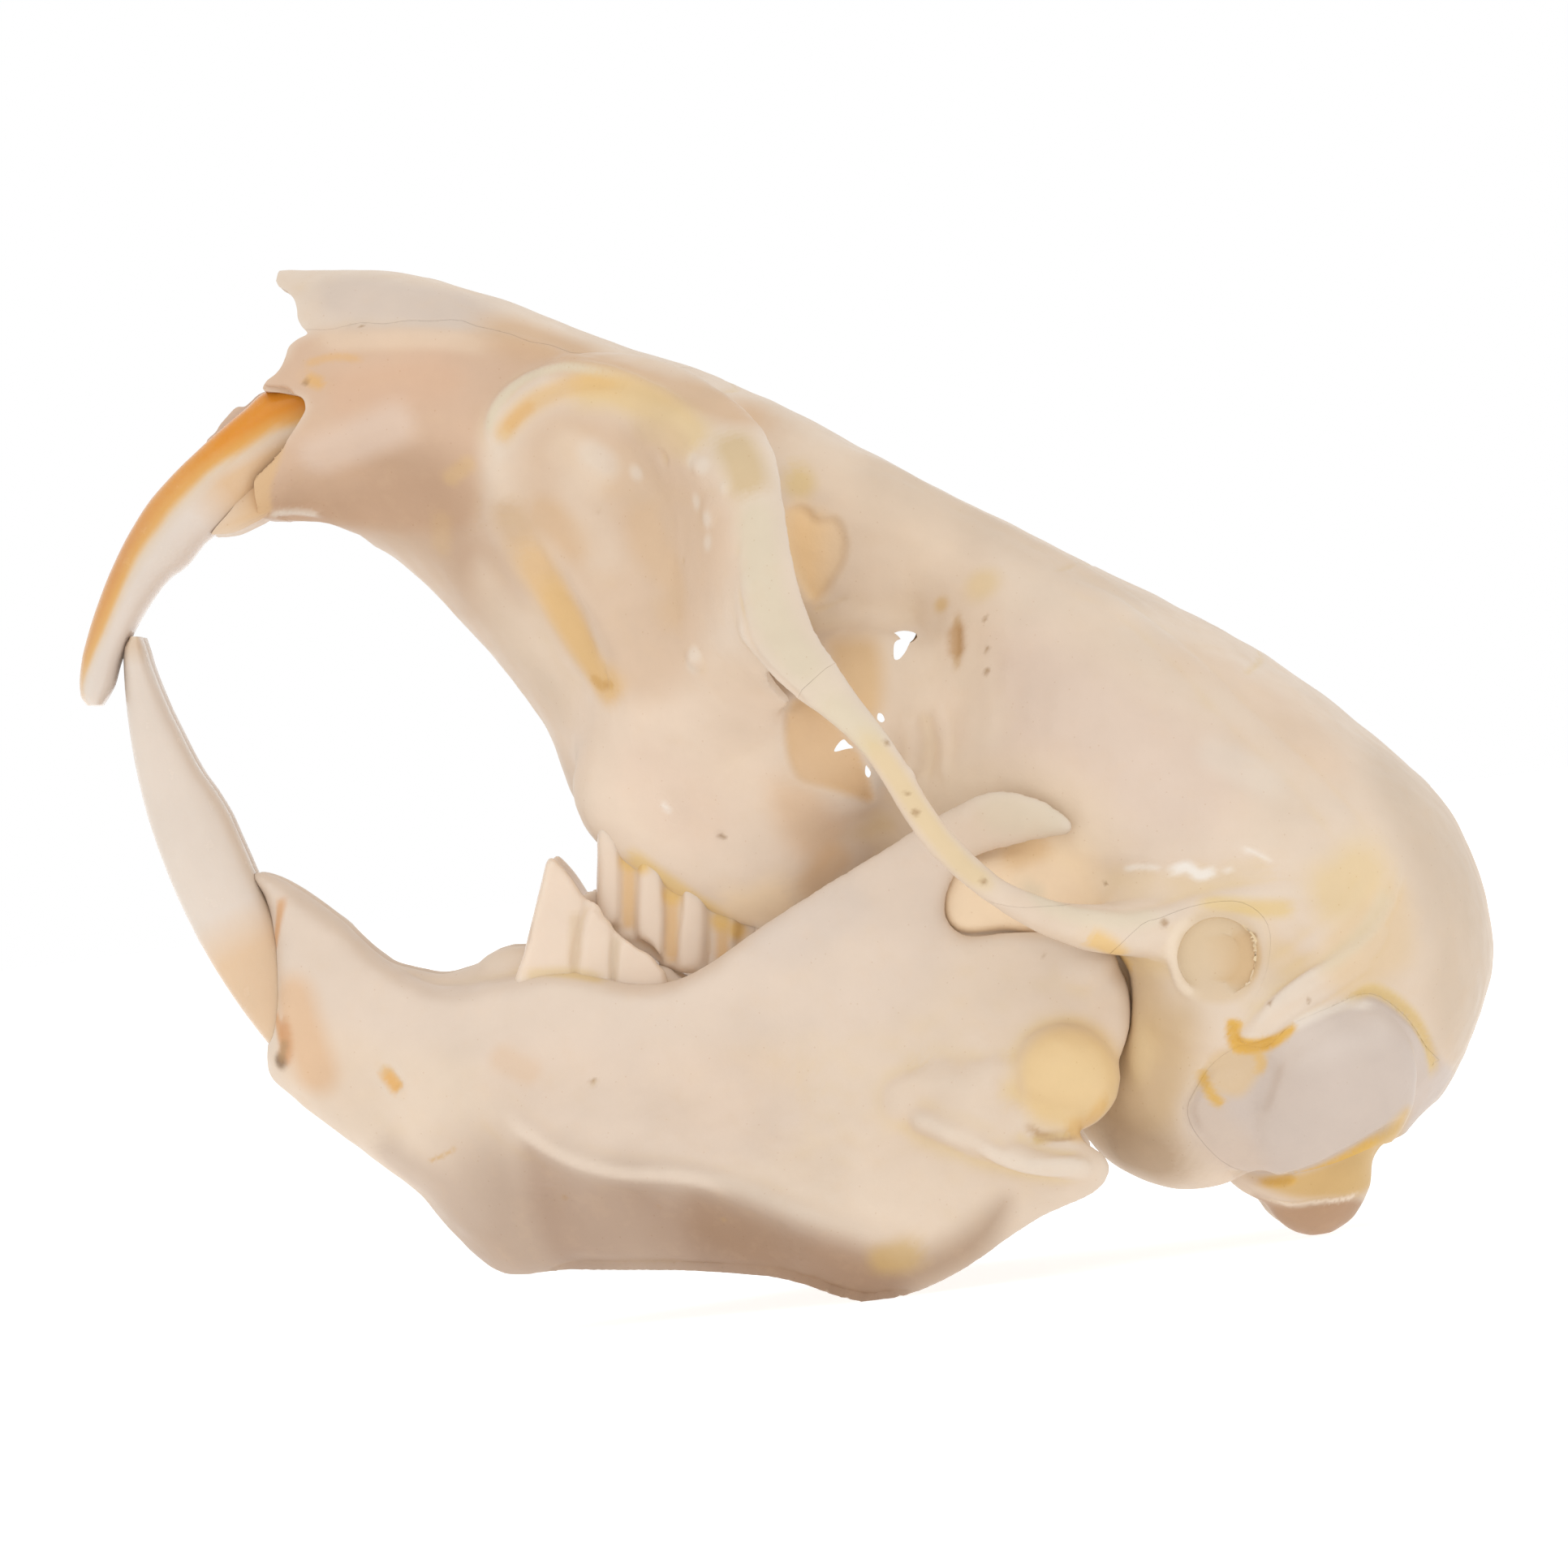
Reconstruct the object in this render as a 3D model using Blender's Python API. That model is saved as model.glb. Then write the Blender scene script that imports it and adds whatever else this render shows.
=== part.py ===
"""Skull of a pocket gopher with its lower jaw in place, life size, as a still museum model.

Run it with blender --background --python part.py, or from Blender's text editor.
Shapes are worked out in millimetres and stored in metres, +Z up, nose towards -X.

Three frames carry the bones:
  skull_frame  X runs back from the tip of the nose, Z up from the biting plane of the upper cheek teeth
  jaw_frame    X runs back and Z up, both from the jaw joint
  rest_pose    tips the closed-up skull back until it lies on its jaw and its occipital condyles
Left is -Y in all of them. Paired bones are modelled on the left and mirrored.
"""

import math

import bmesh
import bpy
import numpy as np
from mathutils import Matrix, Vector

MM = 0.001

# Driving dimensions, in millimetres and degrees
SKULL_LENGTH = 38.6
SKULL_PITCH = 26.7
REST_TIP = 7.4
JAW_JOINT = (28.75, 5.28)
BONE_GAP = 0.3
MIDLINE_GAP = 0.15

# Fineness of the fused bone
VOXEL = 0.3
SMOOTHING = 4
CRANIUM_TRIANGLES = 4600
JAW_TRIANGLES = 1300

# Upper incisor: an arc of the enamel face in the skull frame, and its depth from root to edge
UPPER_INCISOR = {
    "root": (2.95, 10.3),
    "edge": (0.42, -1.5),
    "radius": 9.1,
    "turn": 1,
    "depth": [(0.0, 2.1), (0.5, 2.2), (0.66, 1.75), (0.8, 1.3), (0.93, 0.95), (1.0, 0.5)],
    "width": 1.95,
    "side": 1.13,
}

# Lower incisor: the same in the jaw frame
LOWER_INCISOR = {
    "root": (-21.8, -4.0),
    "edge": (-27.1, 7.75),
    "radius": 17.2,
    "turn": -1,
    "depth": [(0.0, 2.2), (0.56, 2.2), (0.66, 2.0), (0.75, 1.6), (0.85, 1.15), (0.94, 0.72), (1.0, 0.4)],
    "width": 1.8,
    "side": 1.1,
}

# Colours and roughness of each material
FINISHES = {
    "bone": ((0.86, 0.76, 0.62), 0.42),
    "thin_bone": ((0.86, 0.79, 0.60), 0.38),
    "mastoid_bone": ((0.88, 0.84, 0.76), 0.55),
    "upper_enamel": ((0.86, 0.44, 0.10), 0.25),
    "lower_enamel": ((0.90, 0.84, 0.76), 0.28),
}


def clear_scene():
    for item in list(bpy.data.objects):
        bpy.data.objects.remove(item, do_unlink=True)


# Curves and surfaces through a few named places


def track(rows, places):
    """Values of a smooth curve through rows of (place, value, ...) that never overshoots its rows."""
    rows = np.asarray(rows, float)
    places = np.asarray(places, float)
    x, y = rows[:, 0], rows[:, 1:]
    step = np.diff(x)[:, None]
    slope = np.diff(y, axis=0) / step
    tangent = np.zeros_like(y)
    tangent[0], tangent[-1] = slope[0], slope[-1]
    rising = slope[:-1] * slope[1:] > 0
    total = np.where(rising, slope[:-1] + slope[1:], 1.0)
    tangent[1:-1] = np.where(rising, 2 * slope[:-1] * slope[1:] / total, 0.0)
    i = np.clip(np.searchsorted(x, places, side="right") - 1, 0, len(x) - 2)
    t = ((places - x[i]) / (x[i + 1] - x[i]))[:, None]
    h = step[i]
    return (
        (2 * t**3 - 3 * t**2 + 1) * y[i]
        + (t**3 - 2 * t**2 + t) * h * tangent[i]
        + (3 * t**2 - 2 * t**3) * y[i + 1]
        + (t**3 - t**2) * h * tangent[i + 1]
    )


def through(points, count, closed=False):
    """count points of a smooth curve through the given points (Catmull-Rom), evenly by point."""
    points = np.asarray(points, float)
    total = len(points)
    if closed:
        padded = np.vstack([points[-1:], points, points[:2]])
        at = np.linspace(0, total, count, endpoint=False)
    else:
        first, last = 2 * points[0] - points[1], 2 * points[-1] - points[-2]
        padded = np.vstack([first, points, last])
        at = np.linspace(0, total - 1, count)
    i = np.minimum(at.astype(int), (total if closed else total - 1) - 1)
    t = (at - i)[:, None]
    a, b, c, d = padded[i], padded[i + 1], padded[i + 2], padded[i + 3]
    return 0.5 * (2 * b + (c - a) * t + (2 * a - 5 * b + 4 * c - d) * t**2 + (3 * b - a - 3 * c + d) * t**3)


def landmark_field(landmarks):
    """A smooth field over a plane, through rows of (x, z, value, ...): a thin plate bent to meet them."""
    rows = np.asarray(landmarks, float)
    spots, values = rows[:, :2], rows[:, 2:]

    def bend(distance):
        return distance**2 * np.log(distance + 1e-9)

    gaps = np.linalg.norm(spots[:, None] - spots[None], axis=2)
    plane = np.hstack([np.ones((len(rows), 1)), spots])
    system = np.block([[bend(gaps), plane], [plane.T, np.zeros((3, 3))]])
    weights = np.linalg.solve(system, np.vstack([values, np.zeros((3, values.shape[1]))]))

    def field(points):
        reach = np.linalg.norm(points[:, None] - spots[None], axis=2)
        return bend(reach) @ weights[:-3] + np.hstack([np.ones((len(points), 1)), points]) @ weights[-3:]

    return field


# Closed meshes


def mesh_object(name, bm):
    bmesh.ops.recalc_face_normals(bm, faces=bm.faces)
    mesh = bpy.data.meshes.new(name)
    bm.to_mesh(mesh)
    bm.free()
    item = bpy.data.objects.new(name, mesh)
    bpy.context.scene.collection.objects.link(item)
    return item


def skin(name, rings):
    """A closed mesh over rings that hold the same number of points, capped at both ends."""
    bm = bmesh.new()
    loops = [[bm.verts.new(point) for point in ring] for ring in rings]
    for here, after in zip(loops, loops[1:]):
        for j in range(len(here)):
            k = (j + 1) % len(here)
            bm.faces.new((here[j], here[k], after[k], after[j]))
    bm.faces.new(loops[0])
    bm.faces.new(loops[-1])
    return mesh_object(name, bm)


def oval(count, half, up, down, square_up, square_down):
    """(across, height) of a ring whose upper and lower halves bulge by their own power."""
    angle = np.linspace(0, 2 * math.pi, count, endpoint=False)
    across, height = np.cos(angle), np.sin(angle)
    power = 2 / np.where(height >= 0, square_up, square_down)
    reach = np.where(height >= 0, up, down)
    return (
        half * np.sign(across) * np.abs(across) ** power,
        reach * np.sign(height) * np.abs(height) ** power,
    )


def ball(name, centre, radii, turn=(0, 0, 0), segments=24):
    """An ellipsoid, turned by XYZ angles in degrees."""
    bm = bmesh.new()
    bmesh.ops.create_uvsphere(bm, u_segments=segments, v_segments=segments // 2, radius=1)
    spin = Matrix.Identity(4)
    for axis, degrees in zip("XYZ", turn):
        spin = Matrix.Rotation(math.radians(degrees), 4, axis) @ spin
    bm.transform(Matrix.Translation(centre) @ spin @ Matrix.Diagonal((*radii, 1)))
    return mesh_object(name, bm)


def block(name, low, high, pitch=0.0):
    """A box from corner to corner, pitched about +Y at its middle."""
    low, high = Vector(low), Vector(high)
    bm = bmesh.new()
    bmesh.ops.create_cube(bm, size=1)
    turn = Matrix.Rotation(math.radians(pitch), 4, "Y")
    bm.transform(Matrix.Translation((low + high) / 2) @ turn @ Matrix.Diagonal((*(high - low), 1)))
    return mesh_object(name, bm)


def prism(name, outline, low, high):
    """A flat shape through (x, z) corners, running across from low to high."""
    bm = bmesh.new()
    face = bm.faces.new([bm.verts.new((x, low, z)) for x, z in outline])
    raised = bmesh.ops.extrude_face_region(bm, geom=[face])["geom"]
    corners = [item for item in raised if isinstance(item, bmesh.types.BMVert)]
    bmesh.ops.translate(bm, vec=(0, high - low, 0), verts=corners)
    return mesh_object(name, bm)


def sweep(name, rows, tall_way=(0, 0, 1), count=28, sides=16, round_ends=(True, True)):
    """A rod through rows of (x, y, z, half height, half thickness), its height lying along tall_way."""
    rows = through(rows, count)
    path, tall, thick = rows[:, :3], rows[:, 3], rows[:, 4]
    along = np.gradient(path, axis=0)
    along /= np.linalg.norm(along, axis=1)[:, None]
    run = np.concatenate([[0], np.cumsum(np.linalg.norm(np.diff(path, axis=0), axis=1))])
    angle = np.linspace(0, 2 * math.pi, sides, endpoint=False)
    rings = []
    for i in range(count):
        up = np.array(tall_way, float)
        up -= along[i] * (up @ along[i])
        up /= np.linalg.norm(up)
        side = np.cross(along[i], up)
        ends = [run[i] if round_ends[0] else 9, run[-1] - run[i] if round_ends[1] else 9]
        left = min(1.0, min(ends) / max(tall[i], thick[i]))
        close = max(0.12, math.sqrt(1 - (1 - left) ** 2))
        rings.append(
            path[i]
            + np.outer(np.cos(angle) * tall[i] * close, up)
            + np.outer(np.sin(angle) * thick[i] * close, side)
        )
    return skin(name, rings)


def plate(name, outline, landmarks, rim, fine=VOXEL):
    """A curved plate. outline holds (x, z) points round it, landmarks rows of (x, z, outer y, inner y).

    The two faces run through the landmarks, and close on each other within rim of the outline.
    """
    edge = through(outline, 5 * len(outline), closed=True)
    item = prism(name, edge, -1, 1)
    refine(item, fine, 0)
    places = vertex_places(item)
    flat, side = places[:, [0, 2]], np.clip(places[:, 1], -1, 1)
    start, step = edge, np.roll(edge, -1, axis=0) - edge
    share = np.einsum("pij,ij->pi", flat[:, None] - start[None], step) / np.einsum("ij,ij->i", step, step)
    nearest = start[None] + np.clip(share, 0, 1)[..., None] * step[None]
    depth = np.linalg.norm(flat[:, None] - nearest, axis=2).min(1)
    outer, inner = landmark_field(landmarks)(flat).T
    closing = np.sqrt(1 - (1 - np.minimum(depth / rim, 1)) ** 2)
    half = (inner - outer) / 2 * np.maximum(closing, 0.4)
    places[:, 1] = (outer + inner) / 2 + side * half
    set_places(item, places)
    return item


# Changes to a mesh


def vertex_places(item):
    flat = np.empty(len(item.data.vertices) * 3)
    item.data.vertices.foreach_get("co", flat)
    return flat.reshape(-1, 3)


def set_places(item, places):
    item.data.vertices.foreach_set("co", np.ascontiguousarray(places, np.float32).ravel())
    item.data.update()


def bake(item):
    """Applies the modifiers."""
    graph = bpy.context.evaluated_depsgraph_get()
    mesh = bpy.data.meshes.new_from_object(item.evaluated_get(graph))
    item.modifiers.clear()
    old, item.data = item.data, mesh
    bpy.data.meshes.remove(old)
    return item


def remove(items):
    for item in items:
        bpy.data.objects.remove(item, do_unlink=True)


def combine(item, others, operation):
    """One Boolean with a collection of closed meshes, which are then removed."""
    group = bpy.data.collections.new("operands")
    for other in others:
        group.objects.link(other)
    boolean = item.modifiers.new("combine", "BOOLEAN")
    boolean.operation = operation
    boolean.solver = "MANIFOLD"
    boolean.operand_type = "COLLECTION"
    boolean.collection = group
    bake(item)
    remove(others)
    bpy.data.collections.remove(group)
    return item


def refine(item, voxel, smoothing):
    """Fuses the mesh into even small faces and softens them."""
    remesh = item.modifiers.new("fuse", "REMESH")
    remesh.mode = "VOXEL"
    remesh.voxel_size = voxel
    if smoothing:
        smooth = item.modifiers.new("soften", "SMOOTH")
        smooth.factor = 0.5
        smooth.iterations = smoothing
    return bake(item)


def thin_out(item, triangles):
    """Fewer faces, all of them triangles."""
    item.data.calc_loop_triangles()
    decimate = item.modifiers.new("thin", "DECIMATE")
    decimate.ratio = triangles / len(item.data.loop_triangles)
    decimate.use_collapse_triangulate = True
    return bake(item)


def match_sides(item):
    """Makes the right side the mirror image of the left."""
    bm = bmesh.new()
    bm.from_mesh(item.data)
    everything = [*bm.verts, *bm.edges, *bm.faces]
    bmesh.ops.symmetrize(bm, input=everything, direction="-Y", dist=1e-4)
    bmesh.ops.triangulate(bm, faces=bm.faces)
    bm.to_mesh(item.data)
    bm.free()
    return item


def keep_largest(item):
    """Drops every loose scrap and sealed hollow, and keeps the largest closed surface."""
    bm = bmesh.new()
    bm.from_mesh(item.data)
    left, parts = set(bm.faces), []
    while left:
        reached, found = [left.pop()], []
        while reached:
            face = reached.pop()
            found.append(face)
            for edge in face.edges:
                if len(edge.link_faces) == 2:
                    fresh = left.intersection(edge.link_faces)
                    left -= fresh
                    reached.extend(fresh)
        parts.append(found)
    parts.sort(key=len)
    scraps = [face for part in parts[:-1] for face in part]
    bmesh.ops.delete(bm, geom=scraps, context="FACES")
    bm.to_mesh(item.data)
    bm.free()
    return item


def copy_of(item, name):
    twin = item.copy()
    twin.data = item.data.copy()
    twin.name = twin.data.name = name
    bpy.context.scene.collection.objects.link(twin)
    return twin


def mirrored(item, name):
    """The same piece on the right side."""
    twin = copy_of(item, name)
    twin.data.transform(Matrix.Diagonal((1, -1, 1, 1)))
    twin.data.flip_normals()
    return twin


def both_sides(pieces):
    return pieces + [mirrored(piece, piece.name + "_right") for piece in pieces]


# Cranium, in the skull frame


def core():
    """Snout, brow and braincase as one closed body, from rings across the skull's length."""
    #       back   top    floor  half   widest  power above and below
    stations = [
        (0.95, 12.10, 4.50, 2.30, 9.60, 2.4, 2.6),
        (2.00, 12.70, 4.50, 2.80, 9.20, 2.4, 2.4),
        (4.00, 13.40, 5.85, 3.35, 9.60, 2.4, 2.1),
        (6.00, 13.72, 6.05, 3.60, 10.0, 2.4, 2.0),
        (9.00, 14.02, 5.20, 3.75, 10.4, 2.4, 2.0),
        (12.0, 14.45, 3.85, 3.75, 10.6, 2.5, 2.0),
        (14.5, 14.55, 2.00, 3.55, 11.2, 2.6, 1.9),
        (17.0, 14.48, 2.90, 3.20, 12.2, 2.8, 1.7),
        (19.5, 14.45, 3.40, 3.15, 12.0, 2.8, 1.8),
        (21.3, 14.46, 4.00, 4.70, 10.6, 2.6, 2.2),
        (23.2, 14.47, 4.30, 6.40, 9.60, 2.4, 2.1),
        (25.5, 14.49, 4.30, 7.50, 9.00, 2.3, 2.0),
        (28.0, 14.46, 4.10, 8.05, 8.60, 2.2, 2.1),
        (31.0, 14.08, 3.80, 8.20, 8.40, 2.2, 2.4),
        (33.5, 13.50, 3.50, 7.95, 9.00, 2.2, 2.2),
        (35.1, 12.98, 3.20, 7.30, 8.80, 2.1, 2.2),
        (36.2, 12.20, 3.20, 6.60, 8.40, 2.1, 2.2),
        (37.3, 11.10, 3.30, 5.60, 8.00, 2.1, 2.2),
        (38.2, 9.75, 4.00, 4.10, 7.20, 2.0, 2.0),
        (SKULL_LENGTH, 7.90, 5.80, 1.80, 6.90, 2.0, 2.0),
    ]
    places = np.linspace(stations[0][0], SKULL_LENGTH, 84)
    rings = []
    for back, values in zip(places, track(stations, places)):
        top, floor, half, widest, square_up, square_down = values
        across, height = oval(56, half, top - widest, widest - floor, square_up, square_down)
        rings.append(np.column_stack([np.full(56, back), across, widest + height]))
    return skin("core", rings)


def nasal_roof():
    """The nasal bones, a thin arched roof that overhangs the nostrils."""
    #       back   top    half   droop  thickness
    stations = [
        (-0.2, 11.60, 1.20, 0.30, 0.50),
        (0.70, 12.05, 1.80, 1.00, 0.60),
        (1.50, 12.45, 2.25, 1.90, 0.65),
        (3.20, 13.20, 2.40, 1.45, 0.80),
        (6.00, 13.75, 2.35, 0.95, 0.90),
    ]
    places = np.linspace(stations[0][0], stations[-1][0], 22)
    across = np.linspace(-1, 1, 13)
    rings = []
    for back, (top, half, droop, thickness) in zip(places, track(stations, places)):
        outer = np.column_stack([np.full(13, back), across * half, top - droop * across**2])
        inner = outer - [0, 0, thickness]
        rings.append(np.vstack([outer, inner[::-1]]))
    return skin("nasal_roof", rings)


def cheek_root():
    """The zygomatic plate: a shell that flares from the snout to the front of the cheek arch."""
    outline = [
        (7.1, 10.4),
        (7.3, 11.6),
        (8.0, 12.9),
        (9.6, 13.8),
        (12.4, 14.1),
        (14.1, 13.6),
        (15.1, 12.3),
        (16.5, 10.65),
        (18.1, 9.25),
        (19.9, 8.05),
        (20.0, 7.1),
        (18.4, 7.5),
        (17.8, 7.0),
        (18.0, 6.2),
        (18.9, 5.6),
        (18.4, 4.4),
        (16.0, 3.8),
        (14.0, 4.5),
        (12.0, 6.2),
        (10.4, 7.2),
        (8.3, 8.6),
    ]
    #   back   height  face    back wall
    landmarks = [
        (7.3, 10.2, -4.1, -2.9),
        (7.8, 12.0, -4.5, -3.0),
        (8.7, 12.9, -4.9, -3.2),
        (10.9, 13.3, -6.1, -3.9),
        (13.1, 12.8, -8.1, -6.4),
        (13.9, 12.0, -8.8, -7.6),
        (14.6, 10.9, -9.4, -8.2),
        (15.4, 9.6, -9.8, -8.6),
        (16.3, 8.5, -10.0, -8.8),
        (15.0, 12.3, -8.5, -7.7),
        (16.5, 10.6, -9.6, -8.8),
        (18.1, 9.2, -10.2, -9.4),
        (19.9, 7.6, -10.6, -9.6),
        (8.6, 14.1, -2.6, -1.6),
        (11.5, 14.3, -2.8, -1.8),
        (13.9, 14.1, -3.6, -2.6),
        (9.3, 11.2, -4.3, -3.0),
        (11.0, 11.2, -4.9, -3.4),
        (12.6, 10.9, -6.2, -5.0),
        (10.0, 9.2, -4.3, -3.0),
        (11.6, 8.8, -4.9, -3.4),
        (13.3, 9.2, -6.1, -5.0),
        (12.8, 7.4, -5.1, -3.6),
        (14.5, 8.2, -6.9, -5.6),
        (14.3, 6.4, -5.6, -4.0),
        (8.2, 8.7, -4.0, -2.8),
        (10.4, 7.3, -4.0, -2.8),
        (13.4, 5.3, -4.3, -3.0),
        (15.8, 7.1, -6.9, -5.4),
        (17.6, 6.9, -6.6, -5.4),
        (18.8, 5.7, -5.4, -4.0),
        (16.0, 4.6, -4.7, -3.0),
        (14.2, 4.2, -4.1, -2.6),
        (18.4, 4.4, -4.4, -3.0),
    ]
    return plate("cheek_root", outline, landmarks, rim=0.5)


def cheek_band():
    """The thick upper edge of the zygomatic plate, which runs out from the snout and back to the arch."""
    return sweep(
        "cheek_band",
        [
            (9.4, -3.3, 13.3, 0.45, 0.60),
            (11.4, -4.7, 13.6, 0.55, 0.55),
            (13.4, -6.9, 13.1, 0.70, 0.50),
            (14.6, -8.7, 12.0, 0.85, 0.48),
            (15.6, -9.5, 10.8, 0.95, 0.48),
            (16.4, -9.9, 9.7, 0.95, 0.48),
            (17.5, -10.1, 8.7, 0.80, 0.48),
            (19.0, -10.3, 7.9, 0.60, 0.48),
        ],
        tall_way=(1, 0, 0.5),
        count=36,
    )


def cheek_fill():
    """Bone that closes the front of the eye socket between the plate and the snout."""
    rows = [
        (8.6, -3.2, 12.3, 1.0, 0.8),
        (11.2, -4.0, 12.5, 1.2, 1.1),
        (13.2, -5.4, 12.6, 0.8, 1.0),
    ]
    return sweep("cheek_fill", rows)


def cheek_arch():
    """The jugal and the root it joins on the braincase: a thin rod, taller than thick."""
    return sweep(
        "cheek_arch",
        [
            (15.6, -9.6, 9.1, 0.75, 0.5),
            (17.8, -10.0, 8.25, 0.75, 0.5),
            (19.3, -10.2, 7.72, 0.60, 0.48),
            (20.7, -10.4, 7.10, 0.50, 0.46),
            (22.5, -10.4, 6.05, 0.45, 0.46),
            (23.8, -10.3, 5.55, 0.42, 0.46),
            (25.2, -10.0, 5.25, 0.42, 0.50),
            (26.6, -9.4, 5.30, 0.50, 0.60),
            (28.2, -8.5, 5.75, 0.70, 0.90),
            (30.0, -7.4, 6.90, 0.90, 1.00),
        ],
        count=40,
    )


def tooth_bed():
    """The alveolar part of the maxilla, which the upper cheek teeth stand in."""
    return sweep(
        "tooth_bed",
        [
            (13.2, -2.3, 4.6, 1.3, 1.1),
            (14.9, -2.7, 4.0, 2.35, 1.35),
            (17.4, -2.8, 3.7, 2.55, 1.45),
            (19.3, -2.8, 3.9, 2.55, 1.40),
            (20.6, -2.6, 4.7, 2.10, 1.20),
            (22.0, -2.3, 5.6, 1.30, 1.00),
        ],
    )


def brain_floor_pieces():
    """What hangs under and behind the braincase on the left: wing, ear capsule, mastoid and condyle."""
    return [
        sweep(
            "pterygoid",
            [
                (20.6, -1.9, 4.2, 1.3, 0.35),
                (22.6, -1.8, 3.5, 1.6, 0.32),
                (24.8, -2.2, 3.4, 1.1, 0.32),
                (27.5, -3.2, 3.6, 0.7, 0.40),
            ],
        ),
        ball("bulla", (31.8, -5.0, 3.05), (3.35, 2.5, 2.98), turn=(0, 0, -28)),
        ball("bulla_neck", (31.6, -6.6, 5.0), (1.9, 1.5, 2.0)),
        sweep(
            "ear_tube",
            [
                (31.3, -6.0, 6.10, 1.20, 1.20),
                (31.1, -7.6, 6.35, 1.20, 1.20),
                (31.0, -9.1, 6.45, 1.26, 1.26),
            ],
            sides=24,
            round_ends=(False, False),
        ),
        ball("mastoid", (35.1, -6.2, 4.6), (2.65, 2.2, 2.75), turn=(0, 12, -24)),
        sweep(
            "nape_crest",
            [
                (32.6, -8.0, 4.5, 0.35, 0.5),
                (33.3, -8.2, 6.2, 0.45, 0.55),
                (34.2, -7.9, 8.2, 0.5, 0.6),
                (35.0, -6.9, 10.0, 0.5, 0.6),
                (35.6, -5.2, 11.4, 0.45, 0.6),
            ],
            tall_way=(1, 0, 0),
        ),
        ball("occipital_condyle", (36.4, -2.65, 2.3), (1.55, 1.2, 1.8), turn=(24, -25, 12)),
        ball("condyle_root", (35.0, -3.1, 2.5), (1.7, 1.3, 1.55)),
        ball("brain_base", (33.0, -1.6, 4.1), (5.0, 2.4, 1.3)),
    ]


def cranium_cutters():
    """Hollows that show from outside: nostrils, palate, eye sockets, cheek canals, ear tubes and nape."""
    single = [
        sweep(
            "nose_hole",
            [
                (-2.0, 0, 9.45, 1.2, 1.9),
                (0.8, 0, 10.1, 1.25, 1.85),
                (3.2, 0, 11.0, 1.25, 1.7),
                (6.2, 0, 11.4, 0.8, 1.1),
            ],
            sides=20,
        ),
        prism(
            "tooth_front",
            [
                (-3.0, 8.5),
                (1.0, 8.55),
                (1.8, 8.9),
                (2.3, 8.6),
                (2.25, 7.8),
                (1.9, 6.4),
                (2.1, 5.4),
                (1.7, 4.9),
                (-3.0, 4.9),
            ],
            -4,
            4,
        ),
        sweep(
            "nape_hole",
            [
                (34.6, 0, 4.9, 1.20, 1.60),
                (36.6, 0, 4.5, 1.75, 2.20),
                (39.8, 0, 3.6, 1.95, 2.35),
            ],
            sides=24,
        ),
        sweep(
            "palate",
            [
                (14.6, 0, 1.2, 0.8, 1.10),
                (17.5, 0, 1.6, 1.4, 1.35),
                (20.4, 0, 2.1, 1.5, 1.30),
                (23.4, 0, 3.0, 1.3, 1.20),
            ],
        ),
        sweep(
            "nose_channel",
            [
                (22.2, 0, 3.9, 1.3, 1.2),
                (25.0, 0, 3.4, 0.9, 1.1),
                (28.0, 0, 3.0, 0.6, 1.0),
            ],
        ),
    ]
    pairs = [
        ball("eye_socket", (18.5, -5.6, 9.3), (2.5, 3.9, 2.9), turn=(0, 24, 0)),
        ball("socket_floor", (19.6, -5.4, 6.9), (1.5, 3.6, 1.3), turn=(0, 24, 0)),
        sweep(
            "cheek_canal",
            [
                (7.90, -4.5, 8.95, 0.30, 0.4),
                (10.4, -4.3, 7.55, 0.34, 0.5),
                (12.6, -4.6, 6.20, 0.40, 0.6),
                (14.2, -3.9, 5.30, 0.34, 0.7),
            ],
        ),
        sweep("ear_hole", [(31.0, -9.9, 6.45, 0.86, 0.86), (31.15, -7.4, 6.25, 0.8, 0.8)], sides=20),
        sweep("palate_slit", [(9.6, -0.4, 4.6, 0.25, 0.25), (11.2, -0.4, 3.9, 0.25, 0.25)]),
    ]
    return single + both_sides(pairs)


def incisor(name, spec, extra=0.0):
    """A curved chisel in its own frame. extra swells it, for its socket."""
    root, edge = Vector(spec["root"]), Vector(spec["edge"])
    chord = edge - root
    half_angle = spec["turn"] * math.asin(chord.length / 2 / spec["radius"])
    back = spec["turn"] * Vector((-chord.y, chord.x)).normalized()
    centre = (root + edge) / 2 + back * spec["radius"] * math.cos(half_angle)
    start = math.atan2(root.y - centre.y, root.x - centre.x)
    shares = np.linspace(-0.02 if extra else 0.0, 1, 15)
    rings = []
    for share, depth in zip(shares, track(spec["depth"], shares)[:, 0] + 2 * extra):
        angle = start + 2 * half_angle * share
        out = Vector((math.cos(angle), math.sin(angle)))
        middle = centre + out * (spec["radius"] + extra - depth / 2)
        across, deep = oval(12, spec["width"] / 2 + extra, depth / 2, depth / 2, 3.0, 2.6)
        spots = [(middle + out * d, a) for a, d in zip(across, deep)]
        rings.append([(spot.x, a - spec["side"], spot.y) for spot, a in spots])
    return skin(name, rings)


def cheek_tooth(name, foot, crown, half_long, half_wide, slope=0.0):
    """A rootless prism from its foot, deep in the bone, to its worn crown, in (x, y, z)."""
    foot, crown = Vector(foot), Vector(crown)
    rings = []
    for base, grow, tilt in ((foot, 0.85, 0.0), (crown, 1.0, slope)):
        across, along = oval(12, half_wide * grow, half_long * grow, half_long * grow, 2.6, 2.6)
        rings.append([(base.x + a, base.y + w, base.z + tilt * a) for w, a in zip(across, along)])
    return skin(name, rings)


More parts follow.
